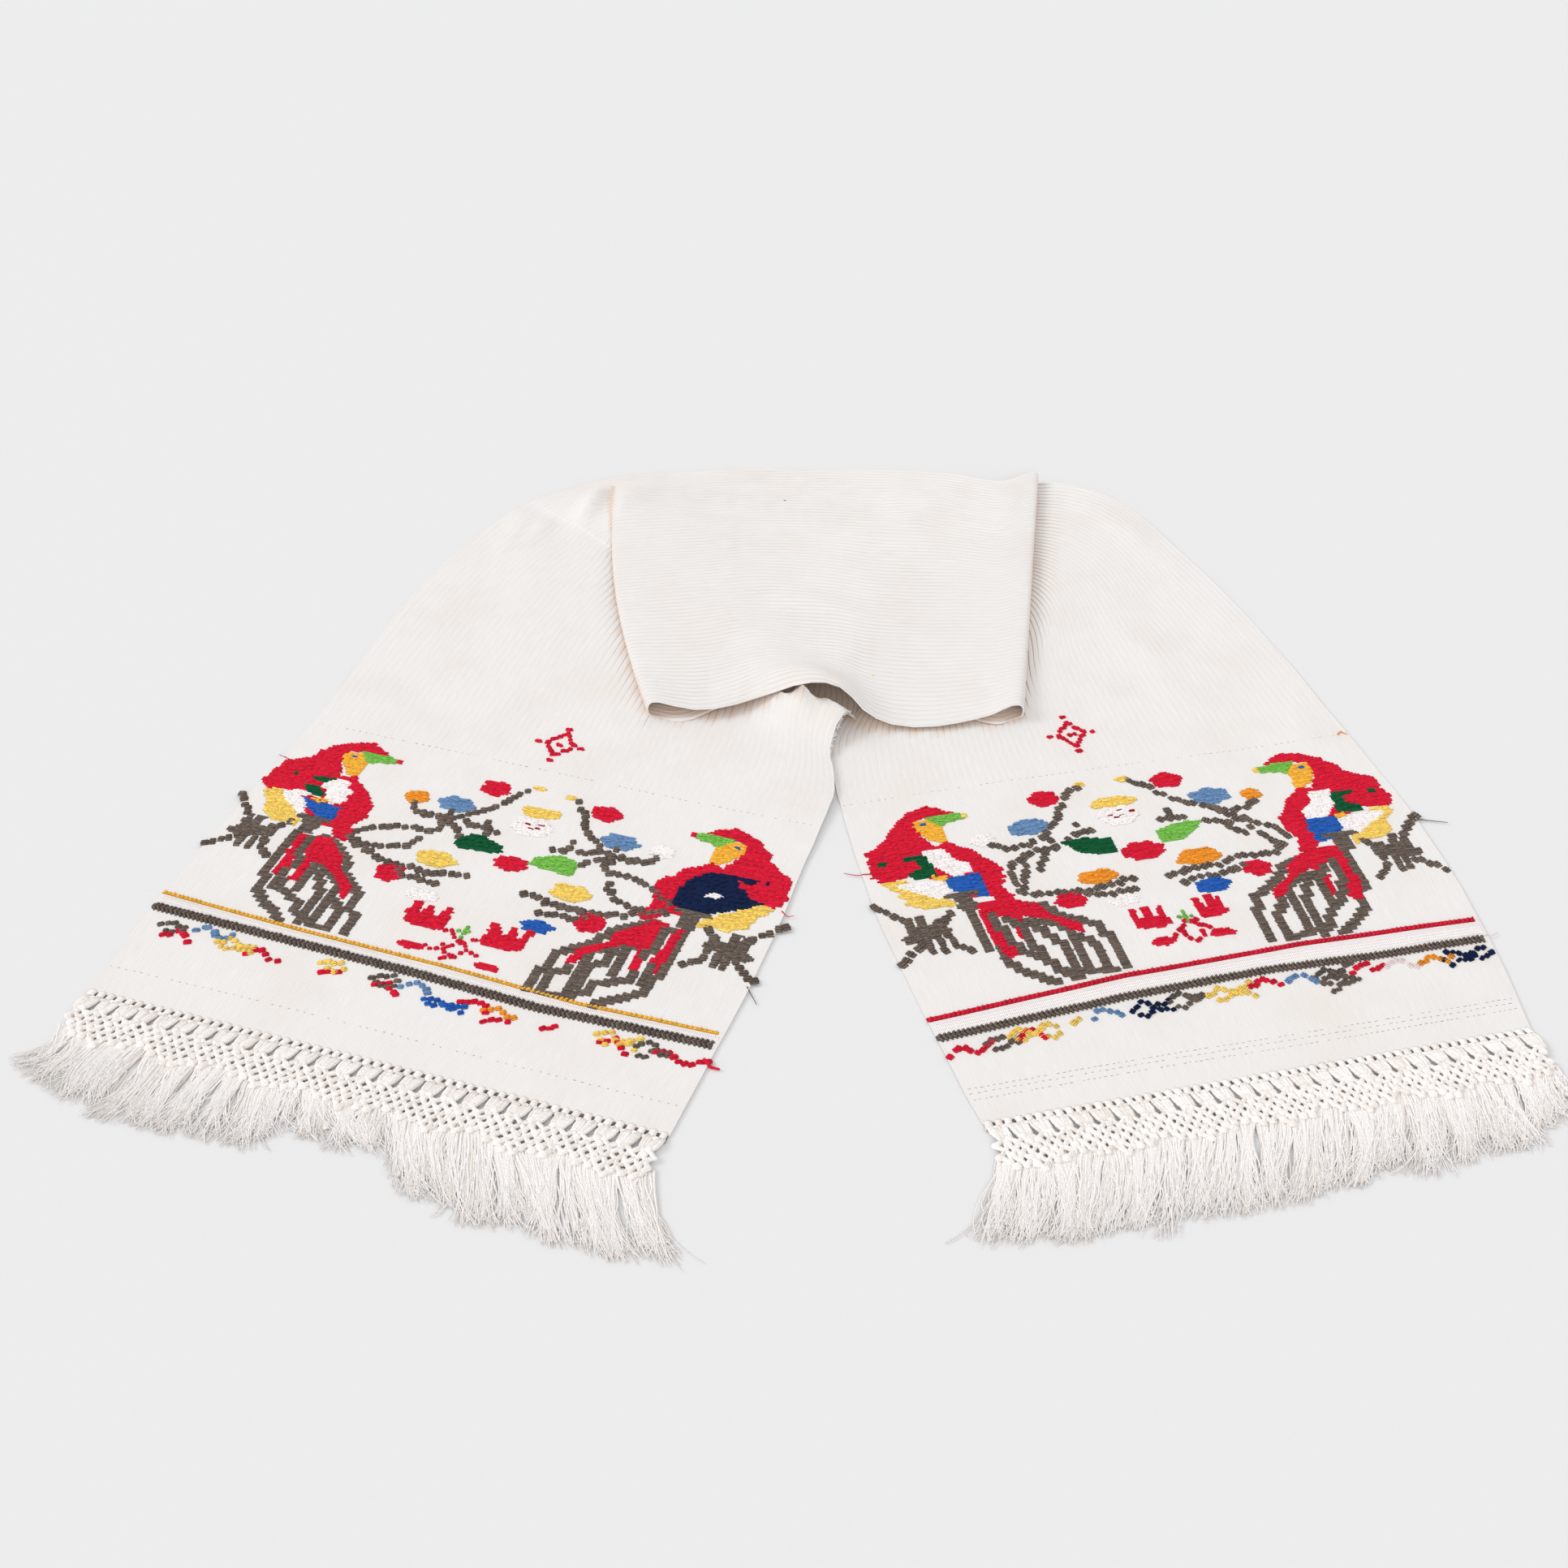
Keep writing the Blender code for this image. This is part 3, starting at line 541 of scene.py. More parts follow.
def linear(hexadecimal):
    """An sRGB colour such as #C9233F as the linear red, green and blue of Blender's sockets."""
    parts = np.array([int(hexadecimal[i:i + 2], 16) for i in (1, 3, 5)]) / 255
    return tuple(np.where(parts <= 0.04045, parts / 12.92, ((parts + 0.055) / 1.055) ** 2.4))


def rgba(hexadecimal):
    """The same with an alpha of 1."""
    return (*linear(hexadecimal), 1.0)


class ClothSettings(bpy.types.PropertyGroup):
    thickness: FloatProperty(
        name="Thickness", description="Thickness of the woven cloth", default=1.2 * MM,
        min=0.5 * MM, max=3 * MM, unit="LENGTH")
    ribs: IntProperty(
        name="Ribs", description="Ribs from selvedge to selvedge", default=72, min=20, max=90)
    rib_height: FloatProperty(
        name="Rib height", description="Height of a rib over the groove beside it",
        default=0.7 * MM, min=0.0, max=2 * MM, unit="LENGTH")
    colour: FloatVectorProperty(
        name="Cotton", description="Colour of the undyed cotton", subtype="COLOR",
        default=linear("#ECE9E7"), min=0, max=1)


class WorkSettings(bpy.types.PropertyGroup):
    stitch_height: FloatProperty(
        name="Stitch height", description="How far a laid stitch stands over the cloth",
        default=1.2 * MM, min=0.2 * MM, max=2 * MM, unit="LENGTH")
    bead_height: FloatProperty(
        name="Chain height", description="How far a thick chain stitch stands over the cloth",
        default=1.7 * MM, min=0.2 * MM, max=3 * MM, unit="LENGTH")


class FringeSettings(bpy.types.PropertyGroup):
    strands: IntProperty(
        name="Strands", description="Loose strands of one fringe", default=1750, min=100, max=3000)
    strand: FloatProperty(
        name="Strand", description="Half thickness of a loose strand at its root",
        default=0.55 * MM, min=0.2 * MM, max=2 * MM, unit="LENGTH")
    colour: FloatVectorProperty(
        name="Yarn", description="Colour of the fringe yarn", subtype="COLOR",
        default=linear("#FDF8F5"), min=0, max=1)


class StageSettings(bpy.types.PropertyGroup):
    floor: FloatVectorProperty(
        name="Floor", description="Colour of the pale surface", subtype="COLOR",
        default=linear("#E6E6E7"), min=0, max=1)
    ambient: FloatProperty(
        name="Ambient", description="Strength of the even light from all sides", default=0.765,
        min=0, max=2)
    lens: FloatProperty(
        name="Lens", description="Focal length of the camera, millimetres on a 36 mm sensor",
        default=44.57, min=10, max=200)


def left_of(start, end):
    """The unit vector to the left of the way from start to end."""
    way = np.array(end, float) - np.array(start, float)
    return np.array((-way[1], way[0])) / np.hypot(*way)


def across(outer, inner, bulge):
    """Plan points of one row: a parabola over the chord from the outer to the inner point."""
    outer, inner = np.array(outer, float), np.array(inner, float)
    place = np.array(PLACES)[:, None]
    return outer + (inner - outer) * place + left_of(outer, inner) * bulge * 4 * place * (1 - place)


def heights_at(heights, thickness):
    """Heights of the sheet's middle in metres, from those of its underside in millimetres."""
    return np.array(heights) * MM + thickness / 2


def fold_rows(name, comes_from_below, thickness):
    """Rows round a fold: a lip, two on the fold's line, a lip. The hidden lip turns back only where
    the layers are gathered."""
    outer_x, outer_y, inner_x, inner_y, bulge, side, gather, first, last = FOLDS[name]
    outer, inner = (outer_x, outer_y), (inner_x, inner_y)
    line = across(outer, inner, bulge) * MM
    into_fold = left_of(outer, inner) * side * FOLD_REACH
    open_lip = line + into_fold
    hidden_lip = line + into_fold * np.array(gather)[:, None]
    lips = (open_lip, hidden_lip) if comes_from_below else (hidden_lip, open_lip)
    first, last = heights_at(first, thickness), heights_at(last, thickness)
    rows = (lips[0], first), (line, first), (line, last), (lips[1], last)
    return [np.column_stack(row) for row in rows]


def under_rows(table, first_lip, last_lip, thickness):
    """Rows of a hidden layer between two lips; the cube of the place across draws their inner ends
    to the hidden selvedge."""
    rows = []
    for share, inner_x, inner_y, heights in table:
        plan = first_lip[:, :2] * (1 - share) + last_lip[:, :2] * share
        pull = np.array((inner_x, inner_y)) * MM - plan[-1]
        plan = plan + pull * np.array(PLACES)[:, None] ** 3
        rows.append(np.column_stack((plan, heights_at(heights, thickness))))
    return rows


def flat_rows(table, thickness):
    """Rows of a layer that shows, as its table has them."""
    return [np.column_stack((across(row[:2], row[2:4], row[4]) * MM,
                             heights_at(row[5], thickness))) for row in table]


def spline_weights(count, degree, samples):
    """Weights of the points of a clamped uniform B-spline at each sample, by the usual recursion:
    each power mixes two neighbours of the power before."""
    spans = count - degree
    knots = np.concatenate((np.zeros(degree), np.arange(spans + 1), np.full(degree, spans)))
    at = np.clip(np.asarray(samples, float)[..., None] * spans, 0, spans - 1e-9)
    weights = ((knots[:-1] <= at) & (at < knots[1:])).astype(float)
    for power in range(1, degree + 1):
        first, last = knots[:-power - 1], knots[power + 1:]
        rise = np.where(knots[power:-1] > first, knots[power:-1] - first, 1)
        fall = np.where(last > knots[1:-power], last - knots[1:-power], 1)
        weights = (weights[..., :-1] * (at - first) / rise
                   + weights[..., 1:] * (last - at) / fall)
    return weights


def hump(points, x, y, angle, half_length, half_width):
    """A Gaussian rise of height 1 along and across its crest."""
    turn = radians(angle)
    away = points[..., :2] - np.array((x, y)) * MM
    along = away @ np.array((cos(turn), sin(turn))) / (half_length * MM)
    over = away @ np.array((-sin(turn), cos(turn))) / (half_width * MM)
    return np.exp(-along ** 2 - over ** 2)


def rise_of(points, table):
    """Sum of the humps of a table's rows."""
    return sum(height * MM * hump(points, *where) for *where, height in table)


def crest(points):
    """Height of the crest at each point, a Gaussian on each side of its line, and the cloth's fall
    behind it, from 0 to 1."""
    start, end = np.array(CREST)
    way = end - start
    long = np.hypot(*way)
    away = points[..., :2] / MM - start
    along = away @ way / long ** 2
    over = away @ np.array((-way[1], way[0])) / long
    reach = np.where(over > 0, CREST_BEHIND, CREST_FRONT)
    before = np.clip(-along, 0, None) * long / CREST_BEFORE
    beyond = np.clip(along - 0.7, 0, None) * long / CREST_BEYOND
    side = np.exp(-(over / reach) ** 2)
    ends = np.exp(-before ** 2 - beyond ** 2)
    fallen = np.where(over > 0, 1 - side, 0.0)
    near = np.exp(-np.clip(abs(along - 0.5) - 0.9, 0, None) ** 2 * 6)
    return np.interp(along, *CREST_HEIGHTS) * MM * side * ends, fallen * near


def stacked(*parts):
    """Arrays that broadcast, as one array of vectors."""
    return np.stack(np.broadcast_arrays(*parts), axis=-1)


def normals_of(points):
    """Unit normals of a grid of points: the cross product of its two directions."""
    normal = np.cross(np.gradient(points, axis=1), np.gradient(points, axis=0))
    return normal / np.maximum(np.linalg.norm(normal, axis=-1, keepdims=True), 1e-12)


class Sheet:
    """The folded cloth's middle: u runs from 0 at the left hem to 1 at the right one, v from 0 at
    the outer selvedge of the horseshoe to 1 at the inner one."""

    def __init__(self, thickness):
        self.thickness = thickness
        tuck = fold_rows("left tuck", True, thickness)
        edge = fold_rows("left edge", False, thickness)
        right_edge = fold_rows("right edge", False, thickness)[::-1]
        right_tuck = fold_rows("right tuck", True, thickness)[::-1]
        groups = (
            ("left arm", flat_rows(LEFT_ARM, thickness)),
            ("tuck", tuck),
            ("left under", under_rows(LEFT_UNDER, tuck[-1], edge[0], thickness)),
            ("edge lower", edge[:2]),
            ("edge", edge[2:]),
            ("panel", flat_rows(PANEL, thickness)),
            ("right edge", right_edge[:2]),
            ("right edge lower", right_edge[2:]),
            ("right under", under_rows(RIGHT_UNDER, right_edge[-1], right_tuck[0], thickness)),
            ("right tuck", right_tuck),
            ("right arm", flat_rows(RIGHT_ARM, thickness)),
        )
        self.net = np.array([row for _, rows in groups for row in rows])
        self.layer = np.array([name for name, rows in groups for _ in rows])
        self.lifted = np.arange(len(self.net)) < np.argmax(self.layer == "right edge")

    def share(self, u, *layers):
        """How much of the cloth at each u is in the named layers, from 0 to 1."""
        return spline_weights(len(self.net), 3, u)[..., np.isin(self.layer, layers)].sum(axis=-1)

    def points(self, u, v):
        """Points at u and v, which broadcast: a B-spline surface over the net, cubic along and
        quadratic across, with rises, creases and a slow unevenness."""
        along = spline_weights(len(self.net), 3, u)
        over = spline_weights(len(PLACES), 2, v)
        points = np.einsum("...i,...j,ijk->...k", along, over, self.net)
        lifted = along[..., self.lifted].sum(axis=-1)
        rise = rise_of(points, RISES)
        arm = along[..., self.layer == "left arm"].sum(axis=-1)
        ridge, behind = crest(points)
        up = rise * lifted * (1 - arm * behind) + ridge * arm
        for layer, creases in CREASES.items():
            share = along[..., self.layer == layer].sum(axis=-1)
            up = up + share * rise_of(points, creases)
            up = up + share * self.unevenness(points)
        points[..., 2] += up
        return points - TABLE_CENTRE

    @staticmethod
    def unevenness(points):
        """Low waves in two crossing directions, never below nothing."""
        x, y = points[..., 0] / MM, points[..., 1] / MM
        wave = np.sin(x / 31 + y / 47) * np.sin(y / 23 - x / 61) + 0.5 * np.sin(x / 13 + y / 19 + 2)
        return UNEVENNESS * (wave + 1.5)


def u_samples(sheet, count):
    """Values of u for the cloth's rows, denser where it bends: equal steps of way plus turn."""
    fine = np.linspace(0, 1, 3001)
    line = sheet.points(fine[:, None], np.array((0.02, 0.5, 0.8, 0.98))[None, :])
    step = np.diff(line, axis=0)
    way = np.linalg.norm(step, axis=-1)
    unit = step / np.maximum(way, 1e-9)[..., None]
    turn = np.linalg.norm(np.diff(unit, axis=0, prepend=unit[:1]), axis=-1)
    effort = (way / ROW_WAY + turn / ROW_TURN).max(axis=1)
    total = np.concatenate(((0,), np.cumsum(effort)))
    even = np.interp(np.linspace(0, total[-1], count), total, fine)
    middle = np.concatenate(((0,), np.cumsum(way[:, 1])))
    at_hems = np.concatenate((HEM_ROWS, middle[-1] - HEM_ROWS))
    return np.sort(np.concatenate((even, np.interp(at_hems, middle, fine))))


class Band:
    """One end of the cloth, as a grid of points and normals over its flat band."""

    def __init__(self, sheet, end):
        self.end = end
        self.x = np.linspace(0, BAND_WIDTH, BAND_GRID[0])
        self.y = np.linspace(0, PATCH_HEIGHT, BAND_GRID[1])
        across_share = self.x / BAND_WIDTH if end == "left" else 1 - self.x / BAND_WIDTH
        u = np.linspace(*BAND_U[end], 500)
        column = sheet.points(u[:, None], across_share[None, :])
        step = np.linalg.norm(np.diff(column, axis=0), axis=-1)
        way = np.vstack((np.zeros(len(self.x)), np.cumsum(step, axis=0)))
        real = self.y * BAND_LENGTH[end] / BAND_HEIGHT
        rows = np.column_stack([np.interp(real, way[:, j], u) for j in range(len(self.x))])
        middle = sheet.points(rows, np.broadcast_to(across_share, rows.shape))
        normal = normals_of(middle)
        self.normal = normal * np.sign(normal[..., 2:])
        self.top = middle + self.normal * sheet.thickness / 2

    def at(self, x, y, height):
        """Points over the band at x and y in millimetres and height in metres: each is mixed from
        the four grid points round it, and past the selvedge it runs on straight."""
        i = np.clip(np.asarray(y) / self.y[1], 0, len(self.y) - 1.001)
        j = np.clip(np.asarray(x) / self.x[1], 0, len(self.x) - 1.001)
        row, column = i.astype(int), j.astype(int)
        down, side = (i - row)[..., None], (j - column)[..., None]
        mixed = []
        for grid in (self.top, self.normal):
            upper = grid[row, column] * (1 - side) + grid[row, column + 1] * side
            lower = grid[row + 1, column] * (1 - side) + grid[row + 1, column + 1] * side
            mixed.append(upper * (1 - down) + lower * down)
        beyond_x = (np.asarray(x) / self.x[1] - j)[..., None]
        beyond_y = (np.asarray(y) / self.y[1] - i)[..., None]
        step_x = self.top[row, column + 1] - self.top[row, column]
        step_y = self.top[row + 1, column] - self.top[row, column]
        point = mixed[0] + step_x * beyond_x + step_y * np.minimum(beyond_y, 0)
        return point + mixed[1] * np.asarray(height)[..., None]


def linked(name, data):
    """A new object in the scene."""
    made = bpy.data.objects.new(name, data)
    bpy.context.scene.collection.objects.link(made)
    return made


class Joined:
    """Many small shapes joined into one mesh. Each batch is n like shapes of k vertices."""

    def __init__(self):
        self.vertices, self.faces, self.colours, self.tints, self.maps = [], [], [], [], []
        self.count = 0

    def add(self, vertices, templates, colour=0, tint=0.5, mapping=None):
        """vertices: n x k x 3. templates: faces of one shape, an array for each number of corners.
        colour: one per shape. tint: one per shape or vertex. mapping: n x k x 2."""
        n, k = vertices.shape[:2]
        base = self.count + np.arange(n) * k
        colour = np.broadcast_to(colour, (n,))
        for template in templates:
            template = np.asarray(template)
            self.faces.append((base[:, None, None] + template).reshape(-1, template.shape[1]))
            self.colours.append(np.repeat(colour, len(template)))
        self.vertices.append(vertices.reshape(-1, 3))
        tint = np.asarray(tint, float)
        tint = tint if tint.ndim == 2 else np.broadcast_to(tint, (n,))[:, None]
        self.tints.append(np.broadcast_to(tint, (n, k)).ravel())
        self.maps.append(np.zeros((n * k, 2)) if mapping is None else mapping.reshape(-1, 2))
        self.count += n * k

    def build(self, name, materials, smooth=True):
        """Makes the mesh and its object, with a tint at each vertex and a map of the yarn."""
        mesh = bpy.data.meshes.new(name)
        mesh.vertices.add(self.count)
        mesh.vertices.foreach_set("co", np.concatenate(self.vertices).astype(np.float32).ravel())
        corners = np.concatenate([faces.ravel() for faces in self.faces])
        sizes = np.concatenate([np.full(len(faces), faces.shape[1]) for faces in self.faces])
        mesh.loops.add(len(corners))
        mesh.polygons.add(len(sizes))
        mesh.loops.foreach_set("vertex_index", corners.astype(np.int32))
        starts = np.concatenate(((0,), np.cumsum(sizes)[:-1]))
        mesh.polygons.foreach_set("loop_start", starts.astype(np.int32))
        for material in materials:
            mesh.materials.append(material)
        mesh.update(calc_edges=True)
        mesh.polygons.foreach_set("material_index", np.concatenate(self.colours).astype(np.int32))
        mesh.polygons.foreach_set("use_smooth", np.full(len(sizes), smooth))
        tint = mesh.attributes.new("tint", "FLOAT", "POINT")
        tint.data.foreach_set("value", np.concatenate(self.tints).astype(np.float32))
        layer = mesh.uv_layers.new(name="yarn")
        layer.data.foreach_set("uv", np.concatenate(self.maps)[corners].astype(np.float32).ravel())
        mesh.validate()
        mesh.update()
        return linked(name, mesh)


# A stitch: places of its four rings, their heights and widths, the heights of a ring's three
# vertices, and the painted light on all twelve: painted shade at the ends, a painted highlight on
# the back
STITCH_ALONG = np.array((-1, -0.6, 0.6, 1))
STITCH_RISE = np.array((0.0, 1.0, 1.0, 0.0))
STITCH_TAPER = np.array((0.8, 1, 1, 0.8))
STITCH_SECTION = np.array((0.25, 1, 0.25))
STITCH_PAINTED_LIGHT = np.array((0.1, 0.2, 0.1, 0.4, 1.0, 0.4, 0.4, 1.0, 0.4, 0.1, 0.2, 0.1))


def stitch_faces():
    """Faces of one stitch: four rings of three vertices, a roof and its underside."""
    roof = [(ring * 3 + side + 3, ring * 3 + side + 4, ring * 3 + side + 1, ring * 3 + side)
            for ring in range(3) for side in range(2)]
    under = [(ring * 3 + 5, ring * 3 + 3, ring * 3, ring * 3 + 2) for ring in range(3)]
    return np.array(roof + under)


def add_stitches(joined, band, x, y, angle, length, width, height, colour, tint):
    """Short raised stitches: each has the given height to 0.6 of its half length on both sides of
    the middle, and its ends go down into the cloth. Its section is a roof that smooth shading
    rounds, and its colour has a painted highlight on its back and painted shade at its ends.
    x, y, length, width: millimetres. angle: radians. height: metres."""
    n = len(x)
    angle, length, width = (np.broadcast_to(a, (n,)) for a in (angle, length, width))
    height = np.broadcast_to(height, (n,))
    along = STITCH_ALONG[None, :, None] * length[:, None, None] / 2
    side = np.array((-1, 0, 1))[None, None, :] * width[:, None, None] / 2
    side = side * STITCH_TAPER[None, :, None]
    turn = np.cos(angle)[:, None, None], np.sin(angle)[:, None, None]
    at_x = np.asarray(x)[:, None, None] + along * turn[0] - side * turn[1]
    at_y = np.asarray(y)[:, None, None] + along * turn[1] + side * turn[0]
    rise = height[:, None, None] * STITCH_RISE[None, :, None] * STITCH_SECTION
    points = band.at(at_x, at_y, rise - STITCH_SINK)
    mapping = stacked(side / 4, along * MM)
    # painted light: darker ends as painted shade, a lighter back as painted highlight
    light = (0.35 + 0.65 * np.broadcast_to(tint, (n,))[:, None]) * STITCH_PAINTED_LIGHT
    joined.add(points.reshape(n, 12, 3), [stitch_faces()], colour, light,
               mapping.reshape(n, 12, 2))


def distance(x, y, start, end):
    """How far points are from the straight line between two points."""
    way = np.array(end, float) - np.array(start, float)
    share = np.clip(((x - start[0]) * way[0] + (y - start[1]) * way[1]) / (way @ way), 0, 1)
    return np.hypot(x - start[0] - share * way[0], y - start[1] - share * way[1])


def inside(x, y, points):
    """Whether points x, y lie in a polygon: a ray from them crosses its sides an odd number of
    times."""
    crossed = np.zeros(x.shape, bool)
    for (x0, y0), (x1, y1) in zip(points, points[1:] + points[:1]):
        if y0 != y1:
            spans = (y0 > y) != (y1 > y)
            crossed ^= spans & (x < (x1 - x0) * (y - y0) / (y1 - y0) + x0)
    return crossed


def along_line(points):
    """The length of a polyline, and a function for x and y at a way along it."""
    x, y = np.array(points, float).T
    way = np.concatenate(((0,), np.cumsum(np.hypot(np.diff(x), np.diff(y)))))
    return way[-1], lambda at: (np.interp(at, way, x), np.interp(at, way, y))


class Chart:
    """The laid stitches of one end: a colour for each cell, -1 where the cloth is bare."""

    def __init__(self, seed):
        self.random = np.random.default_rng(seed)
        self.columns = int(BAND_WIDTH / CELL[0])
        self.rows = int(PATCH_HEIGHT / CELL[1])
        self.cells = np.full((self.rows, self.columns), -1)
        self.x, self.y = np.meshgrid((np.arange(self.columns) + 0.5) * CELL[0],
                                     (np.arange(self.rows) + 0.5) * CELL[1])
        blocks = self.rows // FRAYED_CELLS + 1, self.columns // FRAYED_CELLS + 1
        steps = self.random.uniform(-FRAYED_BY, FRAYED_BY, blocks)
        steps = np.kron(steps, np.ones((FRAYED_CELLS, FRAYED_CELLS)))
        self.frayed = steps[:self.rows, :self.columns]

    def patch(self, colour, points, frayed=1.0):
        """A filled polygon. frayed: how strongly its rim frays."""
        mask = inside(self.x + self.frayed * frayed, self.y, tuple(points))
        self.cells[mask] = colour

    def flower(self, colour, x, y, half_width, half_height, lobes):
        """An ellipse whose radius varies with the cosine of the angle times the number of lobes."""
        dx = (self.x + self.frayed * 0.7 - x) / half_width
        dy = (self.y - y) / half_height
        rim = 1 + 0.07 * np.cos(lobes * np.arctan2(dy, dx) + x)
        self.cells[np.hypot(dx, dy) < rim] = colour

    def box(self, colour, x, y, columns, rows):
        """A block of cells round a point."""
        column = int(round(x / CELL[0] - columns / 2))
        row = int(round(y / CELL[1] - rows / 2))
        self.cells[max(row, 0):row + rows, max(column, 0):column + columns] = colour

    def bar(self, colour, points):
        """A bar that goes up and down in columns and moves sideways in short steps."""
        length, line = along_line(points)
        step = 2 * CELL[0]
        for x, y in zip(*line(np.arange(0, length, CELL[1] / 2))):
            self.box(colour, np.round(x / step) * step, y, *BAR_CELLS)

    def stitches(self):
        """Runs of one colour in each row, cut into stitches whose two lengths take turns in blocks:
        arrays of the middle x, y, length and colour."""
        found = []
        for row in range(self.rows):
            line = self.cells[row]
            change = np.flatnonzero(np.diff(line)) + 1
            starts = np.concatenate(((0,), change))
            ends = np.concatenate((change, (self.columns,)))
            for start, end in zip(starts, ends):
                if line[start] < 0:
                    continue
                at = start
                while at < end:
                    phase = (row // 4 * 7 + at // 5) % 2
                    take = min(STITCH_CELLS[phase], end - at)
                    if end - at - take == 1:
                        take += 1
                    found.append((at + take / 2, row + 0.5, take, line[start]))
                    at += take
        found = np.array(found, float)
        return found[:, 0] * CELL[0], found[:, 1] * CELL[1], found[:, 2] * CELL[0], found[:, 3]


def chain_beads(points, pitch):
    """Middles of the beads along a polyline at equal steps, moved to the stitches' grid, and the
    line's direction at each."""
    length, line = along_line(points)
    x, y = line(np.linspace(0, length, max(2, int(round(length / pitch)) + 1)))
    direction = np.arctan2(np.gradient(y), np.gradient(x))
    return np.round(x / CELL[0]) * CELL[0], np.round(y / CELL[1]) * CELL[1], direction


def place(points, x, y, mirrored=False, scale=1.0):
    """A table's points moved to x and y, mirrored or scaled first."""
    side = -scale if mirrored else scale
    return [(x + px * side, y + py * scale) for px, py in points]


class Work:
    """All the stitched work of one end."""

    def __init__(self, band, seed, settings):
        self.band = band
        self.settings = settings
        self.chart = Chart(seed)
        self.random = np.random.default_rng(seed + 100)
        self.beads = []

    def chain(self, colour, points, kind=BRAID):
        """Beads along a polyline, each swollen or shrunk and moved up or down by a millimetre or
        not, by less in a chain of fewer than five."""
        pitch, size = kind
        x, y, direction = chain_beads(points, pitch)
        n = len(x)
        y = y + self.random.choice((-1.0, 0, 1.0), n) * min(1, n / 5)
        swell = self.random.uniform(0.82, 1.15, (2, n))
        self.beads.append((x, y, direction, np.full(n, colour), size[0] * swell[0],
                           size[1] * swell[1]))

    def flowers(self, table, x=0, y=0, mirrored=False, scale=1.0, swell=(1.0, 1.0)):
        for colour, *middle, half_width, half_height, lobes in table:
            middle, = place((middle,), x, y, mirrored, scale)
            self.chart.flower(colour, *middle, half_width * swell[0], half_height * swell[1],
                              lobes)

    def dots(self, points, x=0, y=0):
        for point in place(points, x, y):
            self.chart.box(DARK_RED, *point, 2, 1)

    def cross(self, x, y):
        for points in CROSS:
            self.chain(LEAF, place(points, x, y), CROSS_CHAIN)

    def bird(self, x, y, mirrored, wing, drop):
        """A bird over its twig, from the tail upwards, so that its wing and head cover its body."""
        chart = self.chart

        def put(colour, points, frayed=1.0):
            chart.patch(colour, place(points, x, y, mirrored), frayed)

        bars, patches, over = BIRD_TAILS[self.band.end]
        for points in bars:
            chart.bar(GREY, place(points, x, y, mirrored))
        for points in patches:
            put(RED, points, 0.5)
        for i in over:
            chart.bar(GREY, place(bars[i], x, y, mirrored))
        put(RED, BIRD_BODY)
        put(YELLOW, BIRD_BELLY)
        for colour, points in wing:
            put(colour, points, 0.5)
        put(GREY, BIRD_LEG, 0.3)
        put(GREY, BIRD_LEG_CAP, 0.3)
        put(GOLD, BIRD_FACE, 0.6)
        put(LEAF, BIRD_BEAK, 0.6)
        tip, eye = place((BIRD_BEAK_TIP, BIRD_EYE), x, y, mirrored)
        chart.box(RED if self.band.end == "left" else YELLOW, *tip, 2, 3)
        chart.box(BLUE, *eye, 2, 2)
        chart.patch(GREY, place(TWIG_HEART, x, y - drop, mirrored))
        for points in TWIG_CHAINS:
            self.chain(GREY, place(points, x, y - drop, mirrored))

    def left_spray(self, axis, shift, scale, mirrored, small, side, low, leaf):
        """One half of the left end's spray, and the crown and the scrolls under it."""
        named = {"small": small, "side": side, "low": low}
        y = SPRAY_BASE + shift
        for points in SPRAY_CHAINS:
            self.chain(GREY, place(points, axis, y, mirrored, scale))
        self.flowers([(named.get(row[0], row[0]), *row[1:]) for row in SPRAY_FLOWERS], axis, y,
                     mirrored, scale, SPRAY_SWELL)
        self.chart.patch(leaf, place(SPRAY_LEAF, axis, y, mirrored, scale))
        crown, = place((CROWN_PLACE,), axis, y, mirrored)
        self.chart.patch(RED, place(CROWN, *crown, mirrored))
        for points in SCROLL_CHAINS:
            self.chain(RED, place(points, axis, y, mirrored), LEFT_SCROLL)
        self.flowers((SCROLL_MOUND,), axis, y, mirrored)

    def middle(self, axis, shift):
        """What stands on the axis of the left end's spray."""
        y = SPRAY_BASE + shift
        self.flowers(MIDDLE_FLOWERS, axis, y)
        self.dots(MIDDLE_DOTS, axis, y)
        self.cross(*place((MIDDLE_CROSS,), axis, y)[0])

    def right_spray(self):
        """The right end's spray, both halves with all that stands under and between them."""
        for points in RIGHT_CHAINS:
            self.chain(GREY, points)
        self.flowers(RIGHT_FLOWERS)
        for colour, points in RIGHT_PATCHES:
            self.chart.patch(colour, points, 0.5)
        for points in RIGHT_SCROLLS:
            self.chain(RED, points, RIGHT_SCROLL)
        self.dots(RIGHT_DOTS)
        self.cross(*RIGHT_CROSS)

    def rosette(self, x, y):
        """A small diamond of red stitches with an open middle, in the place over the seam."""
        self.chain(RED, place(ROSETTE_RING, x, y), RING_CHAIN)
        self.chain(RED, place(ROSETTE_DASH, x, y), DASH_CHAIN)
        for px, py in ROSETTE_TIPS:
            self.chain(RED, place(((-1, 0), (1, 0)), x + px, y + py), TIP_CHAIN)

    def broken_row(self):
        """The short zigzags under the lower stripe, each at the stripe's height over its middle."""
        stripe = np.array(STRIPES[self.band.end][1][2], float)
        for colour, start, stop, shift in BROKEN_ROW[self.band.end]:
            base = np.interp((start + stop) / 2, stripe[:, 0], stripe[:, 1]) - ZIGZAG_BELOW
            self.zigzag(colour, start, stop, base + shift)

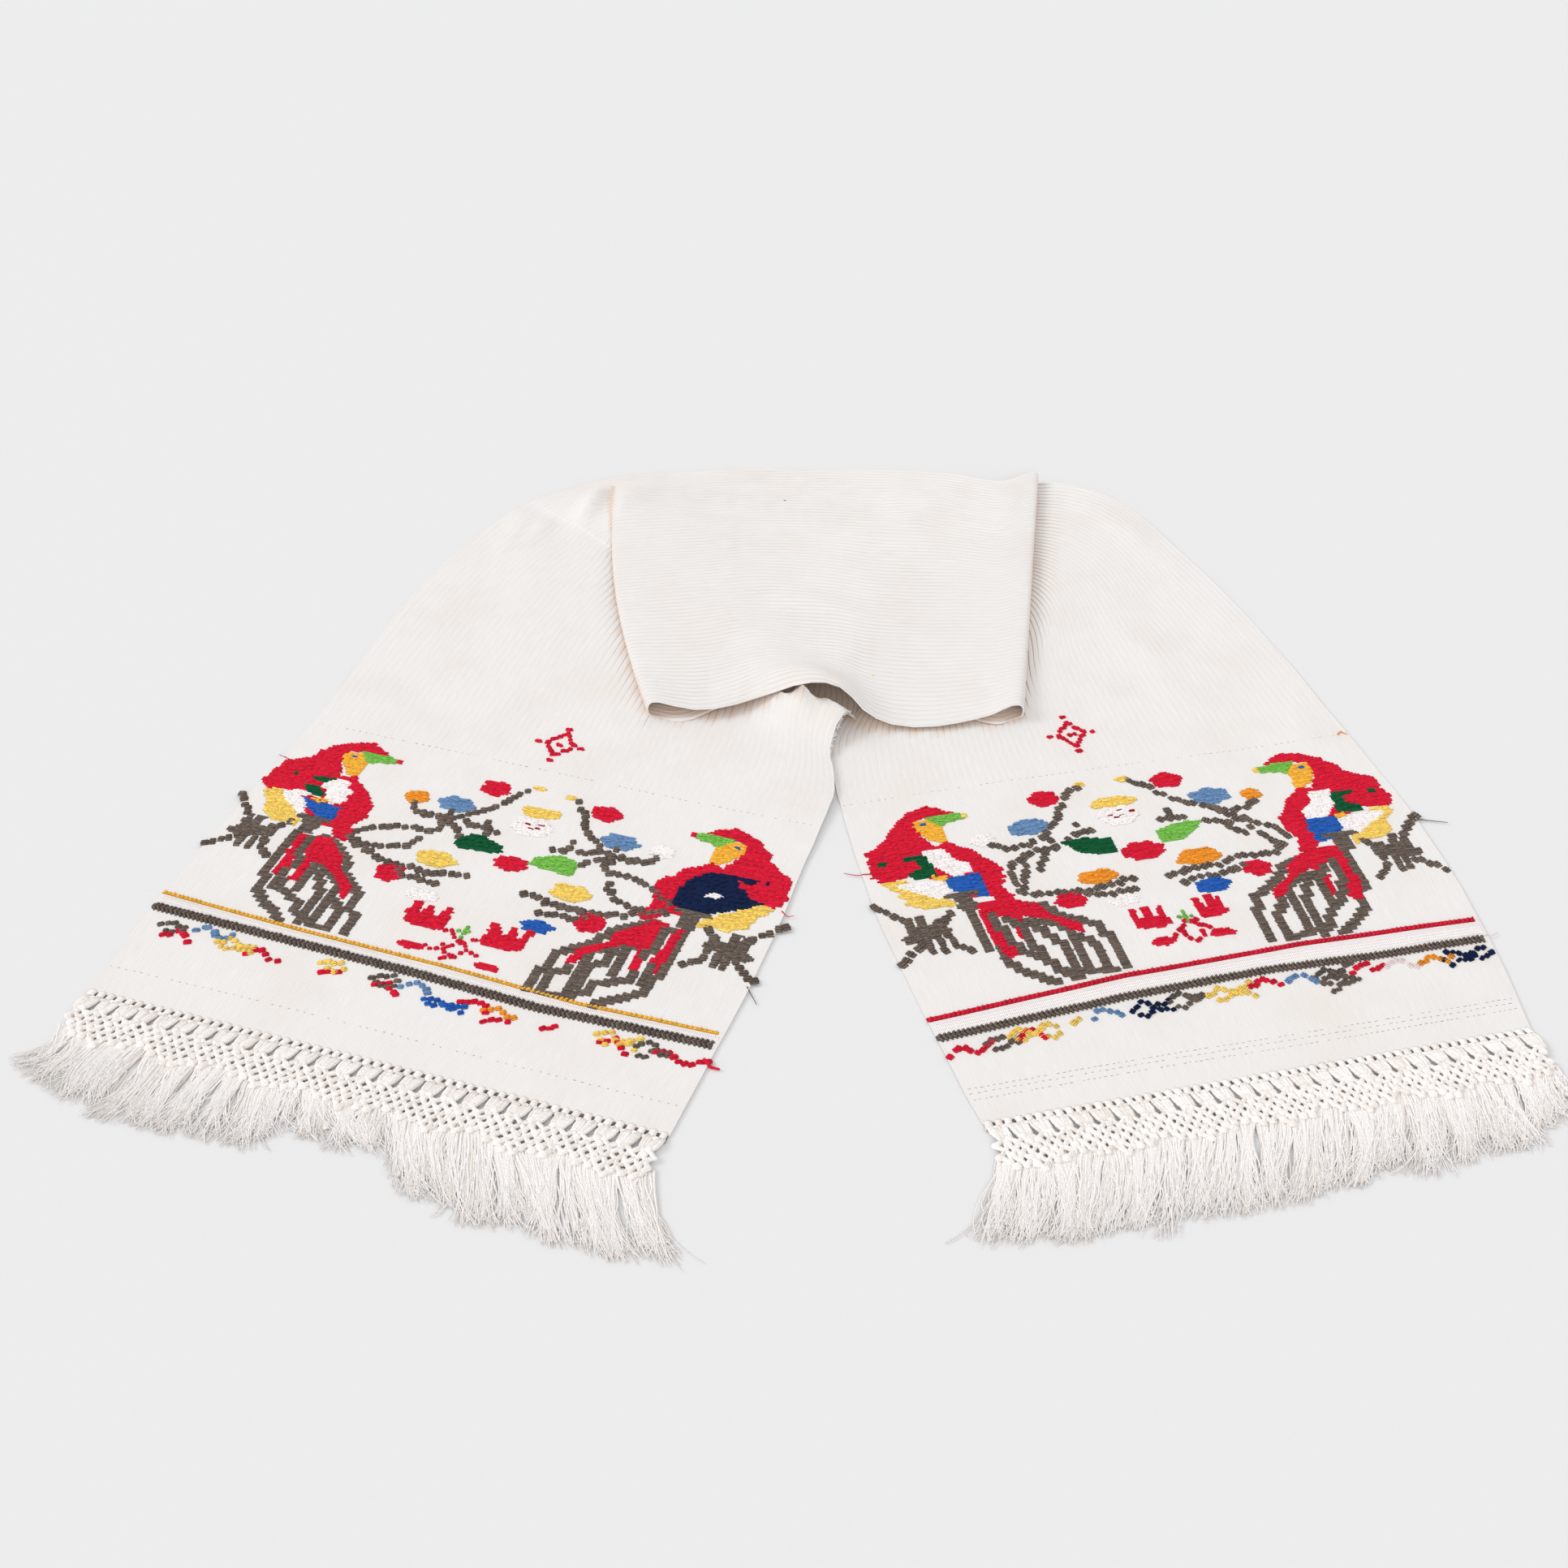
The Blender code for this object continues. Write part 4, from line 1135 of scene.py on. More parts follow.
    def zigzag(self, colour, start, end, y):
        count = max(2, int((end - start) / ZIGZAG_STEP))
        x = np.linspace(start, end, count)
        up = ZIGZAG_RISES[np.arange(count) % len(ZIGZAG_RISES)]
        up = up + self.random.choice(ZIGZAG_WAVER, count)
        self.chain(colour, list(zip(x, y + up)), ZIGZAG_CHAIN)
        if colour in MIRRORED_WOOL and end - start > MIRRORED_FROM:
            self.chain(colour, list(zip(x[1:], y - 1 - up[1:])), MIRRORED_CHAIN)

    def add_laid(self, joined):
        """The laid stitches, in rows that rise and sink in soft wavering ridges, painted lighter on
        the ridges and darker between them, and under each a flat strip of its colour, painted
        darker as shade, so that no cloth shows between them."""
        x, y, length, colour = self.chart.stitches()
        n = len(x)
        wavering = y + 1.3 * np.sin(x / 6) + 0.8 * np.sin(x / 2.3)
        ridge = np.sin(2 * pi * wavering / RIDGE_PITCH)
        height = self.settings.stitch_height * (1 + 0.5 * ridge) * self.random.uniform(0.6, 1.2, n)
        corner_x = np.array((-0.5, 0.5, 0.5, -0.5)) * length[:, None] + x[:, None]
        corner_y = np.array((-0.5, -0.5, 0.5, 0.5)) * CELL[1] * 1.1 + y[:, None]
        lower = np.full(corner_x.shape, 0.3 * MM)
        # the strip under the stitches is painted darker, as shade between them
        joined.add(self.band.at(corner_x, corner_y, lower), [np.arange(4)[None]], colour, 0.2)
        # tints follow the ridges: a painted highlight on their tops, painted shade in the troughs
        add_stitches(joined, self.band, x + self.random.normal(0, 0.35, n),
                     y + self.random.normal(0, 0.13, n), self.random.normal(0, 0.1, n),
                     length + 1.1, CELL[1] * 1.3, height, colour,
                     np.clip(0.5 + 0.45 * ridge + self.random.normal(0, 0.22, n), 0, 1))

    def add_beads(self, joined):
        """Each bead is three strands side by side, the middle one higher and longer, at a slant
        that is steeper where the chain runs across the cloth."""
        x, y, direction, colour, length, tall = (np.concatenate(part) for part in zip(*self.beads))
        n = len(x)
        slant = 0.12 + 0.5 * np.cos(direction) ** 2 + self.random.normal(0, 0.14, n)
        tint = self.random.uniform(0, 1, n)
        for strand in (-1, 0, 1):
            offset = strand * tall / 3
            height = self.settings.bead_height * (1.0 if strand == 0 else 0.78)
            add_stitches(joined, self.band, x - offset * np.sin(slant), y + offset * np.cos(slant),
                         slant, length * (1.0 if strand == 0 else 0.88), tall / 3 * 1.2,
                         height * self.random.uniform(0.85, 1.15, n), colour,
                         np.clip(tint + self.random.normal(0, 0.1, n), 0, 1))


class Heading:
    """Plan of one end's heading and fringe: along the hem from its outer corner and depth under it,
    millimetres."""

    def __init__(self, end):
        row = LEFT_ARM[0] if end == "left" else RIGHT_ARM[-1]
        self.outer, inner = np.array((row[:2], row[2:4]), float)
        self.width = np.hypot(*(inner - self.outer))
        self.pitch = self.width / BUNDLES / 2
        self.along = (inner - self.outer) / self.width
        down = left_of(self.outer, inner)
        self.down = down if down[1] < 0 else -down
        self.tips = np.array(FRINGE_TIPS[end], float)

    def at(self, along, depth, height):
        """Points from along and depth in millimetres and height in millimetres over the floor."""
        plan = (self.outer + self.along * np.asarray(along)[..., None]
                + self.down * np.asarray(depth)[..., None])
        height = np.broadcast_to(height, plan.shape[:-1])
        return np.concatenate((plan, height[..., None]), axis=-1) * MM - TABLE_CENTRE

    def band_depth(self, share):
        """Depth of the knotted band's lower edge: a zigzag of triangles."""
        phase = share * POINTS_PER_END % 1
        return NOTCH_DEPTH + (POINT_DEPTH - NOTCH_DEPTH) * (1 - abs(2 * phase - 1))

    def tip(self, share):
        """Way along the hem and depth of the tips of locks that start at a share of the hem."""
        root, along, depth = self.tips.T
        return np.interp(share, root, along), np.interp(share, root, depth)


def tube_faces(rings, sides):
    """Quads round a tube and one cap at each end."""
    quads = [(r * sides + s, r * sides + (s + 1) % sides,
              (r + 1) * sides + (s + 1) % sides, (r + 1) * sides + s)
             for r in range(rings - 1) for s in range(sides)]
    caps = [tuple(range(sides))[::-1], tuple((rings - 1) * sides + s for s in range(sides))]
    return np.array(quads), np.array(caps)


def add_tubes(joined, paths, radii, sides, colour=0, tint=0.5, flat=1.0):
    """Tubes round n paths of r points: at each point a ring of vertices at equal angles, in the
    plane of its sideways and upward directions. radii: n x r. flat: height over width."""
    n, rings = paths.shape[:2]
    way = np.gradient(paths, axis=1)
    way = way / np.maximum(np.linalg.norm(way, axis=-1, keepdims=True), 1e-12)
    sideways = np.cross(way, (0.0, 0.0, 1.0))
    size = np.linalg.norm(sideways, axis=-1, keepdims=True)
    sideways = np.where(size > 1e-6, sideways / np.maximum(size, 1e-6), (1.0, 0.0, 0.0))
    upward = np.cross(sideways, way)
    angle = np.arange(sides) * 2 * pi / sides - pi / 2
    ring = (sideways[:, :, None] * np.cos(angle)[:, None]
            - upward[:, :, None] * np.sin(angle)[:, None] * flat)
    points = paths[:, :, None] + ring * radii[:, :, None, None]
    length = np.linalg.norm(np.diff(paths, axis=1, prepend=paths[:, :1]), axis=-1).cumsum(axis=1)
    mapping = stacked(np.arange(sides) / sides, length[:, :, None])
    quads, caps = tube_faces(rings, sides)
    joined.add(points.reshape(n, rings * sides, 3), [quads, caps], colour, tint,
               mapping.reshape(n, rings * sides, 2))


def add_knots(joined, middles, size, tint, colour=0):
    """Lumps of tied yarn: ellipsoids from pole to pole, each ring's radius the sine of its angle.
    size: metres along, down and up."""
    n = len(middles)
    polar = np.linspace(0.06, pi - 0.06, KNOT_RINGS)
    round_angle = np.arange(KNOT_SIDES) * 2 * pi / KNOT_SIDES
    ring = np.sin(polar)[:, None]
    unit = stacked(ring * np.cos(round_angle), ring * np.sin(round_angle),
                   np.cos(polar)[:, None]).reshape(-1, 3)
    points = middles[:, None] + unit[None] * size[:, None]
    mapping = np.broadcast_to(unit[None, :, :2] * 0.5 + 0.5, (n, len(unit), 2)) * (1, 4 * MM)
    quads, caps = tube_faces(KNOT_RINGS, KNOT_SIDES)
    joined.add(points, [quads[:, ::-1], caps[:, ::-1]], colour, tint, mapping)


def between(start, end, rings, bow):
    """Paths from start to end with a bow that rises as the sine of the way."""
    share = np.linspace(0, 1, rings)[None, :, None]
    return start[:, None] * (1 - share) + end[:, None] * share + np.sin(pi * share) * bow


def add_posts(joined, heading, random):
    """Hemstitched posts that waist in the middle, the binding threads that run along under them and
    show between them, coloured brown as painted shade, and a knot in each gap."""
    posts = (np.arange(HEM_POSTS) + 0.5) / HEM_POSTS * heading.width
    (top_depth, top_height), (foot_depth, foot_height) = POST_ENDS
    top = heading.at(posts, top_depth, top_height)
    foot = heading.at(posts + random.normal(0, 0.5, HEM_POSTS), foot_depth, foot_height)
    radii = np.interp(np.linspace(0, 1, 5), *POST_RADII)[None] * MM
    add_tubes(joined, between(top, foot, 5, np.array((0, 0, 0.5 * MM))),
              np.repeat(radii, HEM_POSTS, axis=0) * random.uniform(0.9, 1.1, (HEM_POSTS, 1)), 6,
              tint=random.uniform(0.3, 0.8, HEM_POSTS), flat=0.48)
    # binding threads in the dark brown of painted shade, which shows between the posts
    under = heading.at(np.linspace(1, heading.width - 1, 60), BINDING_THREAD_DEPTHS, 0.6)
    add_tubes(joined, under, np.full(under.shape[:2], 1.1 * MM), 4, 1, 0.5, 0.4)
    gaps = heading.at(posts[:-1] + heading.width / HEM_POSTS / 2, 5.4, 1.9)
    add_knots(joined, gaps + random.normal(0, 0.25 * MM, gaps.shape),
              random.uniform(0.9, 1.15, (HEM_POSTS - 1, 1)) * np.array(GAP_KNOT) * MM,
              random.uniform(0.3, 0.8, HEM_POSTS - 1))


def add_pairs(joined, heading, random):
    """The two legs of each bundle draw together, which leaves a long opening beside them. The
    result is where their knots are along the hem."""
    above = (np.arange(LOCKS) + 0.5) * heading.pitch
    together = above + np.tile((1, -1), BUNDLES) * PAIR_DRAW + NET_LEAN
    start = heading.at(above, NET_TOP, 2.0)
    end = heading.at(together, NET_DEPTHS[0], 2.4)
    add_legs(joined, start, end, heading.along, random, 3, 1.95)
    tie(joined, heading, together, NET_DEPTHS[0], random)
    return together


def add_net(joined, heading, random, above):
    """Rows of knots down to the zigzag, each between the knots over it, with two legs to each knot.
    above: where the first row is along the hem."""
    at_depth = NET_DEPTHS[0]
    for row, depth in enumerate(NET_DEPTHS[1:]):
        staggered = row % 2 == 0
        places = np.arange(LOCKS + 1) if staggered else np.arange(LOCKS) + 0.5
        below = places * heading.pitch + NET_LEAN
        below = below + random.normal(0, 0.55, len(below))
        share = np.clip(below / heading.width, 0, 1)
        kept = ((heading.band_depth(share) > depth - 1) & (below > 0.5)
                & (below < heading.width - 0.5))
        for side in (0, 1):
            target = np.arange(len(above)) + (side if staggered else side - 1)
            real = (target >= 0) & (target < len(below))
            target = np.clip(target, 0, len(below) - 1)
            real &= kept[target] & (above > 0.5)
            start = heading.at(above[real], at_depth, 2.5)
            end = heading.at(below[target[real]], depth, 2.3)
            add_legs(joined, start, end, heading.along, random, 2, 0.8)
        tie(joined, heading, below[kept], depth, random)
        above, at_depth = below, depth


def add_legs(joined, start, end, along, random, strands, spacing):
    """Each leg is a few strands side by side that draw together at its ends. spacing: from strand
    to strand in the middle, millimetres."""
    n = len(start)
    share = np.linspace(0, 1, 4)[None, :, None]
    aside = np.append(along, 0) * spacing * MM
    draw = 0.6 + 0.4 * np.sin(pi * share)
    for strand in np.arange(strands) - (strands - 1) / 2:
        path = between(start, end, 4, np.array((0, 0, 0.4 * MM))) + aside * strand * draw
        path = path + random.normal(0, 0.15 * MM, path.shape)
        radii = np.full((n, 4), LEG_RADIUS) * random.uniform(0.88, 1.15, (n, 1))
        add_tubes(joined, path, radii, 6, tint=random.uniform(0.2, 0.8, n), flat=0.9)


def tie(joined, heading, along, depth, random):
    """One row of the net's knots, of uneven sizes."""
    count = len(along)
    middles = heading.at(along + random.normal(0, 0.3, count),
                         depth + random.normal(0, 0.3, count), 2.5)
    size = np.array(NET_KNOT) * MM * random.uniform(0.85, 1.35, (count, 1))
    add_knots(joined, middles, size, random.uniform(0.3, 0.8, count))


def add_strands(joined, heading, random, count, half_thick):
    """Loose strands from the zigzag to the tips: mixes of root and tip, with a slow sway of the
    whole lock, two ripples that grow on the way and a curl at the tip, the fifth power of the way.
    They come down to the floor."""
    share = np.sort(random.uniform(0, 1, count))
    lock = np.floor(share * LOCKS)
    lock_middle = (lock + 0.5) / LOCKS
    lock_own = random.normal(0, 1, (LOCKS + 1, 4))
    per_lock = lock_own[lock.astype(int)]
    own = random.normal(0, 1, (4, count, 1))
    turns = random.uniform(0, 2 * pi, (2, count, 1))
    root = share * heading.width + random.normal(0, 0.8, count)
    root_depth = heading.band_depth(share) - random.uniform(0, 7, count)
    tip_along, tip_depth = heading.tip(np.clip(lock_middle * 0.6 + share * 0.4, 0, 1))
    tip_along = tip_along + per_lock[:, 0] * LOCK_ASIDE + own[0, :, 0] * 4.2
    tip_depth = tip_depth + per_lock[:, 1] * LOCK_DOWN - np.abs(random.normal(0, 5.0, count)) + 1.5
    part = np.linspace(0, 1, STRAND_RINGS)[None]
    sway = per_lock[:, 2:3] * LOCK_SWAY * np.sin(pi * part)
    ripple = own[1] * 2.3 * np.sin(part * random.uniform(4, 9, (count, 1)) + turns[0])
    crinkle = own[3] * np.sin(part * random.uniform(11, 20, (count, 1)) + turns[1])
    along = (root[:, None] + (tip_along - root)[:, None] * part ** LOCK_BEND + sway
             + (ripple + crinkle) * np.sqrt(part) + own[2] * 5.5 * part ** 5)
    depth = (root_depth[:, None] + (tip_depth - root_depth)[:, None] * part
             - np.abs(own[2]) * 2.0 * part ** 6 + crinkle * 0.5 * part)
    high = random.uniform(0, 1, count)
    lift = (0.7 + 0.9 * high[:, None]) * (1 - part ** 2 * 0.6) + 0.3
    lift = lift + 0.3 * np.abs(crinkle) * part
    thick = half_thick * (1.15 - 0.6 * part) * random.uniform(0.75, 1.2, (count, 1))
    # lower strands get lower tints, painted beige as shade under the upper ones
    add_tubes(joined, heading.at(along, depth, lift), thick, 4,
              tint=np.clip(high + random.normal(0, 0.2, count), 0, 1), flat=0.4)
    add_lock_bodies(joined, heading, lock_own[:-1], part)


def add_lock_bodies(joined, heading, lock_own, part):
    """The matted lower yarn of each lock: a broad flat tube on the way of the lock's strands that
    narrows to the tip and stops short of it. Its tint paints it partly beige, as shade under the
    strands."""
    middle = (np.arange(LOCKS) + 0.5) / LOCKS
    tip_along, tip_depth = heading.tip(middle)
    tip_along = tip_along + lock_own[:, 0] * LOCK_ASIDE
    root, root_depth = middle * heading.width, heading.band_depth(middle) - 5
    way = part * BODY_SHARE
    along = (root[:, None] + (tip_along - root)[:, None] * way ** LOCK_BEND
             + lock_own[:, 2:3] * LOCK_SWAY * np.sin(pi * way))
    depth = root_depth[:, None] + (tip_depth - 4 - root_depth)[:, None] * way
    half = heading.width / BUNDLES / 4 * (1.35 - 0.75 * part ** 2) * MM
    # a low tint: partly painted beige, as shade under the strands
    add_tubes(joined, heading.at(along, depth, 0.75), np.broadcast_to(half, along.shape), 6,
              tint=0.4, flat=0.13)


def add_node(tree, kind, inputs=(), **settings):
    """Adds a shader node: settings are its own, and inputs gives sockets a value or the output that
    feeds them."""
    made = tree.nodes.new("ShaderNode" + kind)
    for key, value in settings.items():
        setattr(made, key, value)
    for socket, value in dict(inputs).items():
        if isinstance(value, bpy.types.NodeSocket):
            tree.links.new(value, made.inputs[socket])
        else:
            made.inputs[socket].default_value = value
    return made


def compute(tree, operation, *values):
    """What a Math node makes of the values, which fill its sockets in order."""
    return add_node(tree, "Math", enumerate(values), operation=operation).outputs["Value"]


def ranged(tree, value, source, target=(0.0, 1.0)):
    """A value moved from the source range into the target range."""
    return add_node(tree, "MapRange", {
        "Value": value, "From Min": source[0], "From Max": source[1],
        "To Min": target[0], "To Max": target[1]}).outputs["Result"]


def mixed(tree, factor, first, second):
    """The first colour at factor 0 and the second at 1."""
    return add_node(tree, "Mix", {"Factor": factor, "A": first, "B": second},
                    data_type="RGBA").outputs["Result"]


def noise(tree, vector, scale, detail):
    inputs = {"Vector": vector, "Scale": scale, "Detail": detail}
    return add_node(tree, "TexNoise", inputs).outputs["Fac"]


def attribute(tree, name):
    return add_node(tree, "Attribute", attribute_name=name).outputs["Fac"]


def object_place(tree):
    return add_node(tree, "TexCoord").outputs["Object"]


def yarn_map(tree):
    """The map of the yarn in metres, whole and as its two parts."""
    yarn = add_node(tree, "UVMap", uv_map="yarn").outputs["UV"]
    split = add_node(tree, "SeparateXYZ", {"Vector": yarn})
    return yarn, split.outputs["X"], split.outputs["Y"]


def plain_colour(tree, colour):
    output = add_node(tree, "RGB").outputs["Color"]
    output.default_value = (*colour, 1.0)
    return output


def finish(tree, shader, colour, level, height=None, strength=0.0, depth=0.0):
    """Links a colour times a level as the base colour and, where there is a height, its bump."""
    shown = add_node(tree, "VectorMath", {0: colour, 1: level}, operation="MULTIPLY")
    tree.links.new(shown.outputs["Vector"], shader.inputs["Base Color"])
    if height is not None:
        bump = add_node(tree, "Bump", {
            "Height": height, "Strength": strength, "Distance": depth})
        tree.links.new(bump.outputs["Normal"], shader.inputs["Normal"])


def new_material(name, roughness, sheen):
    """A bare matte material, its tree and its shader."""
    material = bpy.data.materials.new(name)
    material.use_nodes = True
    shader = material.node_tree.nodes["Principled BSDF"]
    for socket, value in (("Roughness", roughness), ("IOR", 1.5), ("Specular IOR Level", 0.12),
                          ("Sheen Weight", sheen), ("Sheen Roughness", 0.5)):
        shader.inputs[socket].default_value = value
    return material, material.node_tree, shader


def cotton_material(settings):
    """Hand-woven cotton: undyed, a little uneven and yellowed, so the cream is never quite one
    colour. The ribs are in the mesh, the threads are bump. Brown painted shade lies under and
    beside the panel, and painted shade darkens the grooves between the ribs."""
    material, tree, shader = new_material("hand-woven cotton", 0.92, 0.15)
    weave, over, along = yarn_map(tree)
    # yellowing and handling marks, patches 60 mm wide
    old = ranged(tree, noise(tree, object_place(tree), 16.0, 3.0), (0.45, 0.75))
    aged_and_shade = mixed(tree, old, (*settings.colour, 1.0), rgba("#EBE4DF"))
    # slubs: single thicker threads along and across
    stretched = add_node(tree, "Mapping", {"Vector": weave, "Scale": (900.0, 60.0, 1.0)})
    slubs = noise(tree, stretched.outputs["Vector"], 1.0, 2.0)
    # painted shade: brown under the panel, beside its folds and behind the crest
    shade_brown = mixed(tree, attribute(tree, "painted_shade"), aged_and_shade, rgba("#E6D2C3"))
    # painted shade in the narrow grooves between the ribs, strongest beside and under the panel
    turns = compute(tree, "MULTIPLY", over, 2 * pi * settings.ribs / CLOTH_WIDTH)
    groove = ranged(tree, compute(tree, "COSINE", turns), (-0.78, -0.98))
    deep = compute(tree, "MULTIPLY", groove, attribute(tree, "groove_shade"))
    groove_shaded = mixed(tree, deep, shade_brown, rgba("#6E5A4C"))
    # plain weave: the product of a wave along and a wave across, one thread every THREAD_PITCH
    waves = [compute(tree, "SINE", compute(tree, "MULTIPLY", way, pi / THREAD_PITCH))
             for way in (over, along)]
    woven = compute(tree, "MULTIPLY", *waves)
    rough = compute(tree, "MULTIPLY_ADD", slubs, 1.5, woven)
    sunk = compute(tree, "MULTIPLY_ADD", deep, -2.5, rough)
    finish(tree, shader, groove_shaded, ranged(tree, slubs, (0.3, 0.7), (0.965, 1.02)),
           sunk, 0.6, 0.12 * MM)
    return material


def yarn_material(name, colour, spread, turn=2.4 * MM, sheen=0.04, aged_and_shade=None):
    """Soft spun yarn, made once: hairy, so it has no gloss and hardly any bloom, each strand a
    little lighter or darker than the next, with a twist. Strands of low tint go towards the given
    colour of painted shade, where there is one."""
    if name in bpy.data.materials:
        return bpy.data.materials[name]
    material, tree, shader = new_material(name, 0.9, sheen)
    tint = attribute(tree, "tint")
    fuzz = noise(tree, object_place(tree), 700.0, 3.0)
    level = ranged(tree, tint, (0.0, 1.0), (1 - spread, 1 + spread * 0.6))
    grain = ranged(tree, fuzz, (0.3, 0.7), (1 - spread * 0.6, 1 + spread * 0.5))
    if aged_and_shade is None:
        dyed = plain_colour(tree, colour)
    else:
        dyed = mixed(tree, ranged(tree, tint, (0.0, 0.6)), (*aged_and_shade, 1.0), (*colour, 1.0))
    _, over, along = yarn_map(tree)
    turns = compute(tree, "MULTIPLY", along, 2 * pi / turn)
    round_it = compute(tree, "MULTIPLY_ADD", over, 4 * pi, turns)
    height = compute(tree, "MULTIPLY_ADD", fuzz, 1.4, compute(tree, "SINE", round_it))
    finish(tree, shader, dyed, compute(tree, "MULTIPLY", level, grain), height, 0.7, 0.15 * MM)
    return material


def floor_material(settings):
    """Matte studio paper: a pale grey with grain too fine to notice."""
    material, tree, shader = new_material("matte studio paper", 0.95, 0.0)
    grain = ranged(tree, noise(tree, object_place(tree), 400.0, 2.0), (0.0, 1.0), (0.99, 1.01))
    finish(tree, shader, plain_colour(tree, settings.floor), grain)
    return material


def wool_materials():
    """Every wool, in the order of YARNS."""
    return [yarn_material(name, linear(hexadecimal), WOOL_SPREADS.get(name, WOOL_SPREAD))
            for name, hexadecimal in YARNS]


def fringe_material():
    # low tints go towards a beige that is painted shade
    return yarn_material("fringe cotton yarn", bpy.context.scene.fringe_settings.colour, 0.05,
                         turn=3.0 * MM, sheen=0.5, aged_and_shade=linear("#F0E5DC"))


def shade_thread_material():
    """Binding thread of the hemstitch: the same cotton, coloured brown as painted shade for the
    gaps where no light reaches.
    """
    return yarn_material("binding thread in painted shade", linear("#8E776A"), 0.2, turn=3.0 * MM)


class TOWEL_OT_cloth(bpy.types.Operator):
    """The folded cloth with its ribs, as one thin sheet"""

    bl_idname = "towel.cloth"
    bl_label = "Cloth"

    def execute(self, context):
        settings = context.scene.cloth_settings
        sheet = Sheet(settings.thickness)
        u = u_samples(sheet, CLOTH_ROWS)
        v = np.linspace(0, 1, settings.ribs * RIB_COLUMNS + 1)
        points = sheet.points(u[:, None], v[None, :])
        step = np.linalg.norm(np.diff(points, axis=0), axis=-1)
        way = np.vstack((np.zeros(len(v)), np.cumsum(step, axis=0)))
        # ribs: the cosine plus half the squared sine of the way across, so round backs and narrow
        # grooves, which fade in past the plain bands and wander a little
        into = np.minimum(way - BAND_LENGTH["left"], way[-1] - BAND_LENGTH["right"] - way)
        ribbed = np.clip(into / RIB_FADE, 0, 1)
        # painted shade: brown beside and under the panel, and darkening of the grooves
        shade_brown, groove_shade = self.painted_shade(sheet, u, points)
        wander = (1.1 * np.sin(way / 0.045 + 9 * v) + 0.6 * np.sin(way / 0.023 - 14 * v)) * MM
        laid_v = v + ribbed * wander / CLOTH_WIDTH
        turn = 2 * pi * settings.ribs * laid_v
        relief = ribbed * (1 - 0.6 * shade_brown) * np.interp(into, *RIB_RELIEF)
        relief = relief * settings.rib_height / 2 * (np.cos(turn) + 0.5 * np.sin(turn) ** 2)
        points = points + normals_of(points) * relief[..., None]
        points[..., 0] += self.fray(way, v)
        rows, columns = points.shape[:2]
        first = np.arange((rows - 1) * columns).reshape(rows - 1, columns)[:, :-1].ravel()
        faces = np.stack((first, first + 1, first + columns + 1, first + columns), axis=-1)
        joined = Joined()
        mapping = stacked(laid_v * CLOTH_WIDTH, way[:, columns // 2, None])
        joined.add(points.reshape(1, -1, 3), [faces], mapping=mapping.reshape(1, -1, 2))
        cloth = joined.build("towel_cloth", [cotton_material(settings)])
        self.sharpen_rim(cloth.data, rows, columns)
        # both attributes carry painted shade, for the grooves and the brown
        for name, values in (("groove_shade", ribbed * groove_shade), ("painted_shade", shade_brown)):
            attribute = cloth.data.attributes.new(name, "FLOAT", "POINT")
            attribute.data.foreach_set("value", values.astype(np.float32).ravel())
        solid = cloth.modifiers.new("thickness", "SOLIDIFY")
        solid.thickness = settings.thickness
        solid.offset = 0
        solid.use_even_offset = False
        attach(cloth, "root")
        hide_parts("cloth")
        return {"FINISHED"}

    @staticmethod
    def sharpen_rim(mesh, rows, columns):
        """The selvedges and hems are cut edges: both ends of each are in the grid's first or last
        row or column."""
        ends = np.empty(len(mesh.edges) * 2, np.int32)
        mesh.edges.foreach_get("vertices", ends)
        row, column = np.divmod(ends.reshape(-1, 2), columns)
        cut = (((row == 0) | (row == rows - 1)).all(axis=1)
               | ((column == 0) | (column == columns - 1)).all(axis=1))
        sharp = mesh.attributes.new("sharp_edge", "BOOLEAN", "EDGE")
        sharp.data.foreach_set("value", cut)

    @staticmethod
    def fray(way, v):
        """Sideways wander of the selvedges: two waves along the cloth that fade out inwards."""
        at_edge = np.exp(-np.minimum(v, 1 - v) * CLOTH_WIDTH / FRAY_REACH)
        return FRAY_DEPTH * at_edge * (np.sin(way / 0.0047) + np.sin(way / 0.0131 + v * 5))

    @staticmethod
    def painted_shade(sheet, u, points):
        """How much painted brown shade the cloth has and how much painted shade darkens its
        grooves,
        from 0 to 1: the most under the panel, and beside it they fall to nothing over the table's
        width. The panel gets no painted brown."""
        below = 1 - sheet.share(u, "panel", "edge", "right edge")[:, None]
        x, y = np.moveaxis((points + TABLE_CENTRE)[..., :2] / MM, -1, 0)
        rim = np.full(x.shape, 1e3)
        for start, end in zip(PANEL_OUTLINE, PANEL_OUTLINE[1:]):
            rim = np.minimum(rim, distance(x, y, start, end))
        covered = np.where(inside(x, y, PANEL_OUTLINE), rim, -rim) / PANEL_SHADE + 0.5
        # painted brown shade under the panel's outline, fading in over PANEL_SHADE
        shade_brown = np.clip(covered, 0, 1)
        # painted shade in the grooves, a share of the painted brown
        groove_shade = shade_brown * 0.35
        for side, tone, grooves, line in SHADE_BANDS:
            depths, fold_x, widths = np.array(line, float).T
            over = (x - np.interp(y, depths, fold_x)) * side
            width = np.interp(y, depths, widths)
            fall = np.clip(1.25 - np.clip(over, 0, None) / (width + 0.01), 0, 1)
            fall = fall * (over > -3) * (width > 0.3)
            shade_brown = np.maximum(shade_brown, tone * fall)
            groove_shade = np.maximum(groove_shade, grooves * fall)
        # painted shade in the grooves: a little everywhere, more on the panel so that its ribs show
        return shade_brown * below, groove_shade * below + 0.02 + 0.08 * (1 - below)


